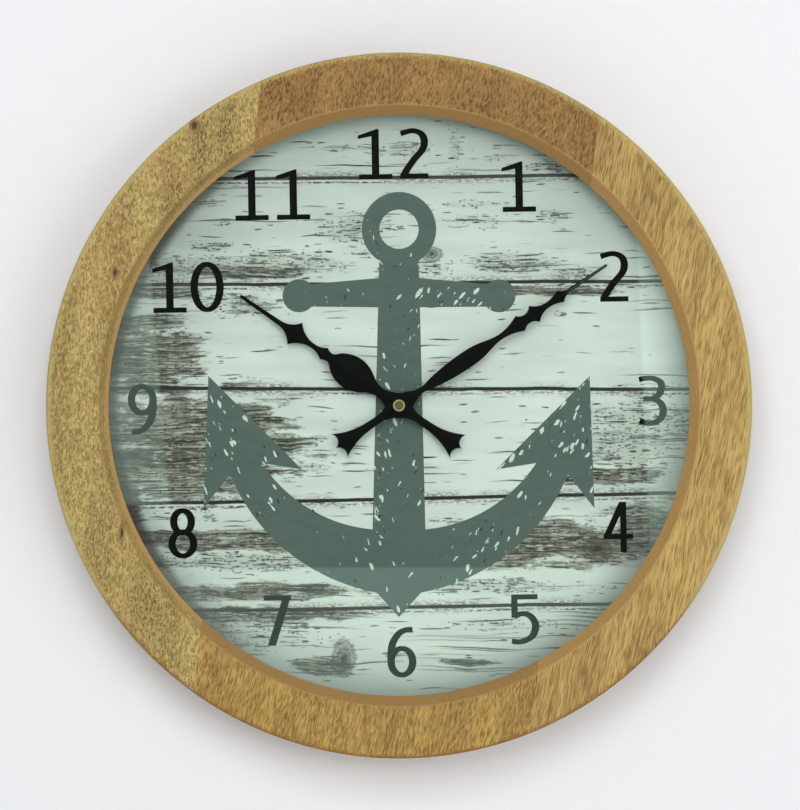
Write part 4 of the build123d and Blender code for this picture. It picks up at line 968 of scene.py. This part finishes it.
def wall_finish():
    """Pale wall paint that can be seen through from behind."""
    wall = Finish("pale_wall", Roughness=0.9, Specular_IOR_Level=0.1)
    wall.set("Base Color", colour(246, 247, 250))
    behind = wall.add("ShaderNodeNewGeometry", output="Backfacing")
    clear = wall.add("ShaderNodeBsdfTransparent")
    plain = Wire(wall, wall.shader.outputs[0])
    seen = wall.add("ShaderNodeMixShader", inputs={0: behind, 1: plain, 2: clear})
    wall.feed(wall.graph.nodes["Material Output"].inputs["Surface"], seen)
    return wall.material


def floor_finish():
    floor = Finish("pale_floor", Roughness=0.85, Specular_IOR_Level=0.1)
    floor.set("Base Color", colour(228, 228, 228))
    return floor.material


def lamp(name, place, size, power):
    """A soft square lamp that faces the dial."""
    light = bpy.data.lights.new(name, "AREA")
    light.size = size
    light.energy = power
    thing = bpy.data.objects.new(name, light)
    thing.location = HUB + Vector(place)
    thing.rotation_mode = "QUATERNION"
    thing.rotation_quaternion = (HUB - thing.location).to_track_quat("-Z", "Y")
    bpy.context.scene.collection.objects.link(thing)


def veil_finish(camera):
    """Black in the middle and softly bright beyond the edges that the glass reflects to the camera."""
    veil = Finish("room_reflection", Roughness=1.0, Specular_IOR_Level=0.0)
    depth_share = 2 * (GLASS_FRONT - camera.location.y) / CAMERA_DISTANCE

    def card(pixel, middle):
        """Where on the card, from the camera's axis, the glass shows a pixel."""
        return (pixel - middle) * PIXEL * depth_share

    across = veil.x - camera.location.x
    up = veil.z - camera.location.z
    left = across + VEIL_LEFT_LEAN * up
    right = across + VEIL_RIGHT_LEAN * up
    column, row = PHOTO_WIDTH / 2, PHOTO_HEIGHT / 2
    left = left.smooth(card(VEIL_LEFT, column), card(VEIL_LEFT - VEIL_SOFT, column))
    left = left * up.smooth(-card(VEIL_LEFT_FOOT + VEIL_FOOT_SOFT, row), -card(VEIL_LEFT_FOOT, row))
    right = right.smooth(card(VEIL_RIGHT, column), card(VEIL_RIGHT + VEIL_SOFT, column))
    low = up.smooth(-card(VEIL_TOP, row), -card(VEIL_TOP + VEIL_TOP_SOFT, row))
    veil.set("Base Color", colour(0, 0, 0))
    glow = right.most(left * 0.85).most(low * 0.6)
    veil.set("Emission Color", veil.mix(glow, colour(0, 0, 0), colour(174, 204, 188)))
    veil.set("Emission Strength", VEIL_LIGHT)
    return veil.material


def studio():
    """Wall, floor, lamps, world and the camera at the photo's view."""
    scene = bpy.context.scene
    view = bpy.data.cameras.new("photo_view")
    view.sensor_width = SENSOR
    view.lens = SENSOR * CAMERA_DISTANCE / (PHOTO_HEIGHT * PIXEL)
    camera = bpy.data.objects.new("photo_view", view)
    aside = (PHOTO_WIDTH / 2 - RING_PIXEL[0]) * PIXEL
    up = (RING_PIXEL[1] - PHOTO_HEIGHT / 2) * PIXEL
    camera.location = (HUB.x + aside, FRAME_FRONT - CAMERA_DISTANCE, HUB.z + up)
    camera.rotation_euler = (math.pi / 2, 0.0, 0.0)
    scene.collection.objects.link(camera)
    scene.camera = camera
    wall_place = HUB + Vector((0.0, WALL_GAP, 0.0))
    wall = stage_plane("pale_wall", wall_place, (WALL_HALF, WALL_HALF), "Y", wall_finish())
    wall.visible_diffuse = False
    wall.visible_glossy = False
    wall.visible_shadow = False
    card = stage_plane("room_reflection", camera.location, (CARD_HALF, CARD_HALF), "Y", veil_finish(camera))
    card.visible_camera = False
    card.visible_diffuse = False
    card.visible_shadow = False
    floor_place = HUB + Vector((0.0, 0.0, -FLOOR_DROP))
    stage_plane("pale_floor", floor_place, (FLOOR_HALF, FLOOR_HALF), "Z", floor_finish())
    for name, (place, size, power) in LAMPS.items():
        lamp(name, place, size, power)
    world = bpy.data.worlds.new("soft_room")
    world.use_nodes = True
    world.node_tree.nodes["Background"].inputs["Color"].default_value = (1.0, 1.0, 1.0, 1.0)
    world.node_tree.nodes["Background"].inputs["Strength"].default_value = ROOM_LIGHT
    scene.world = world
    scene.view_settings.view_transform = "Standard"


studio()
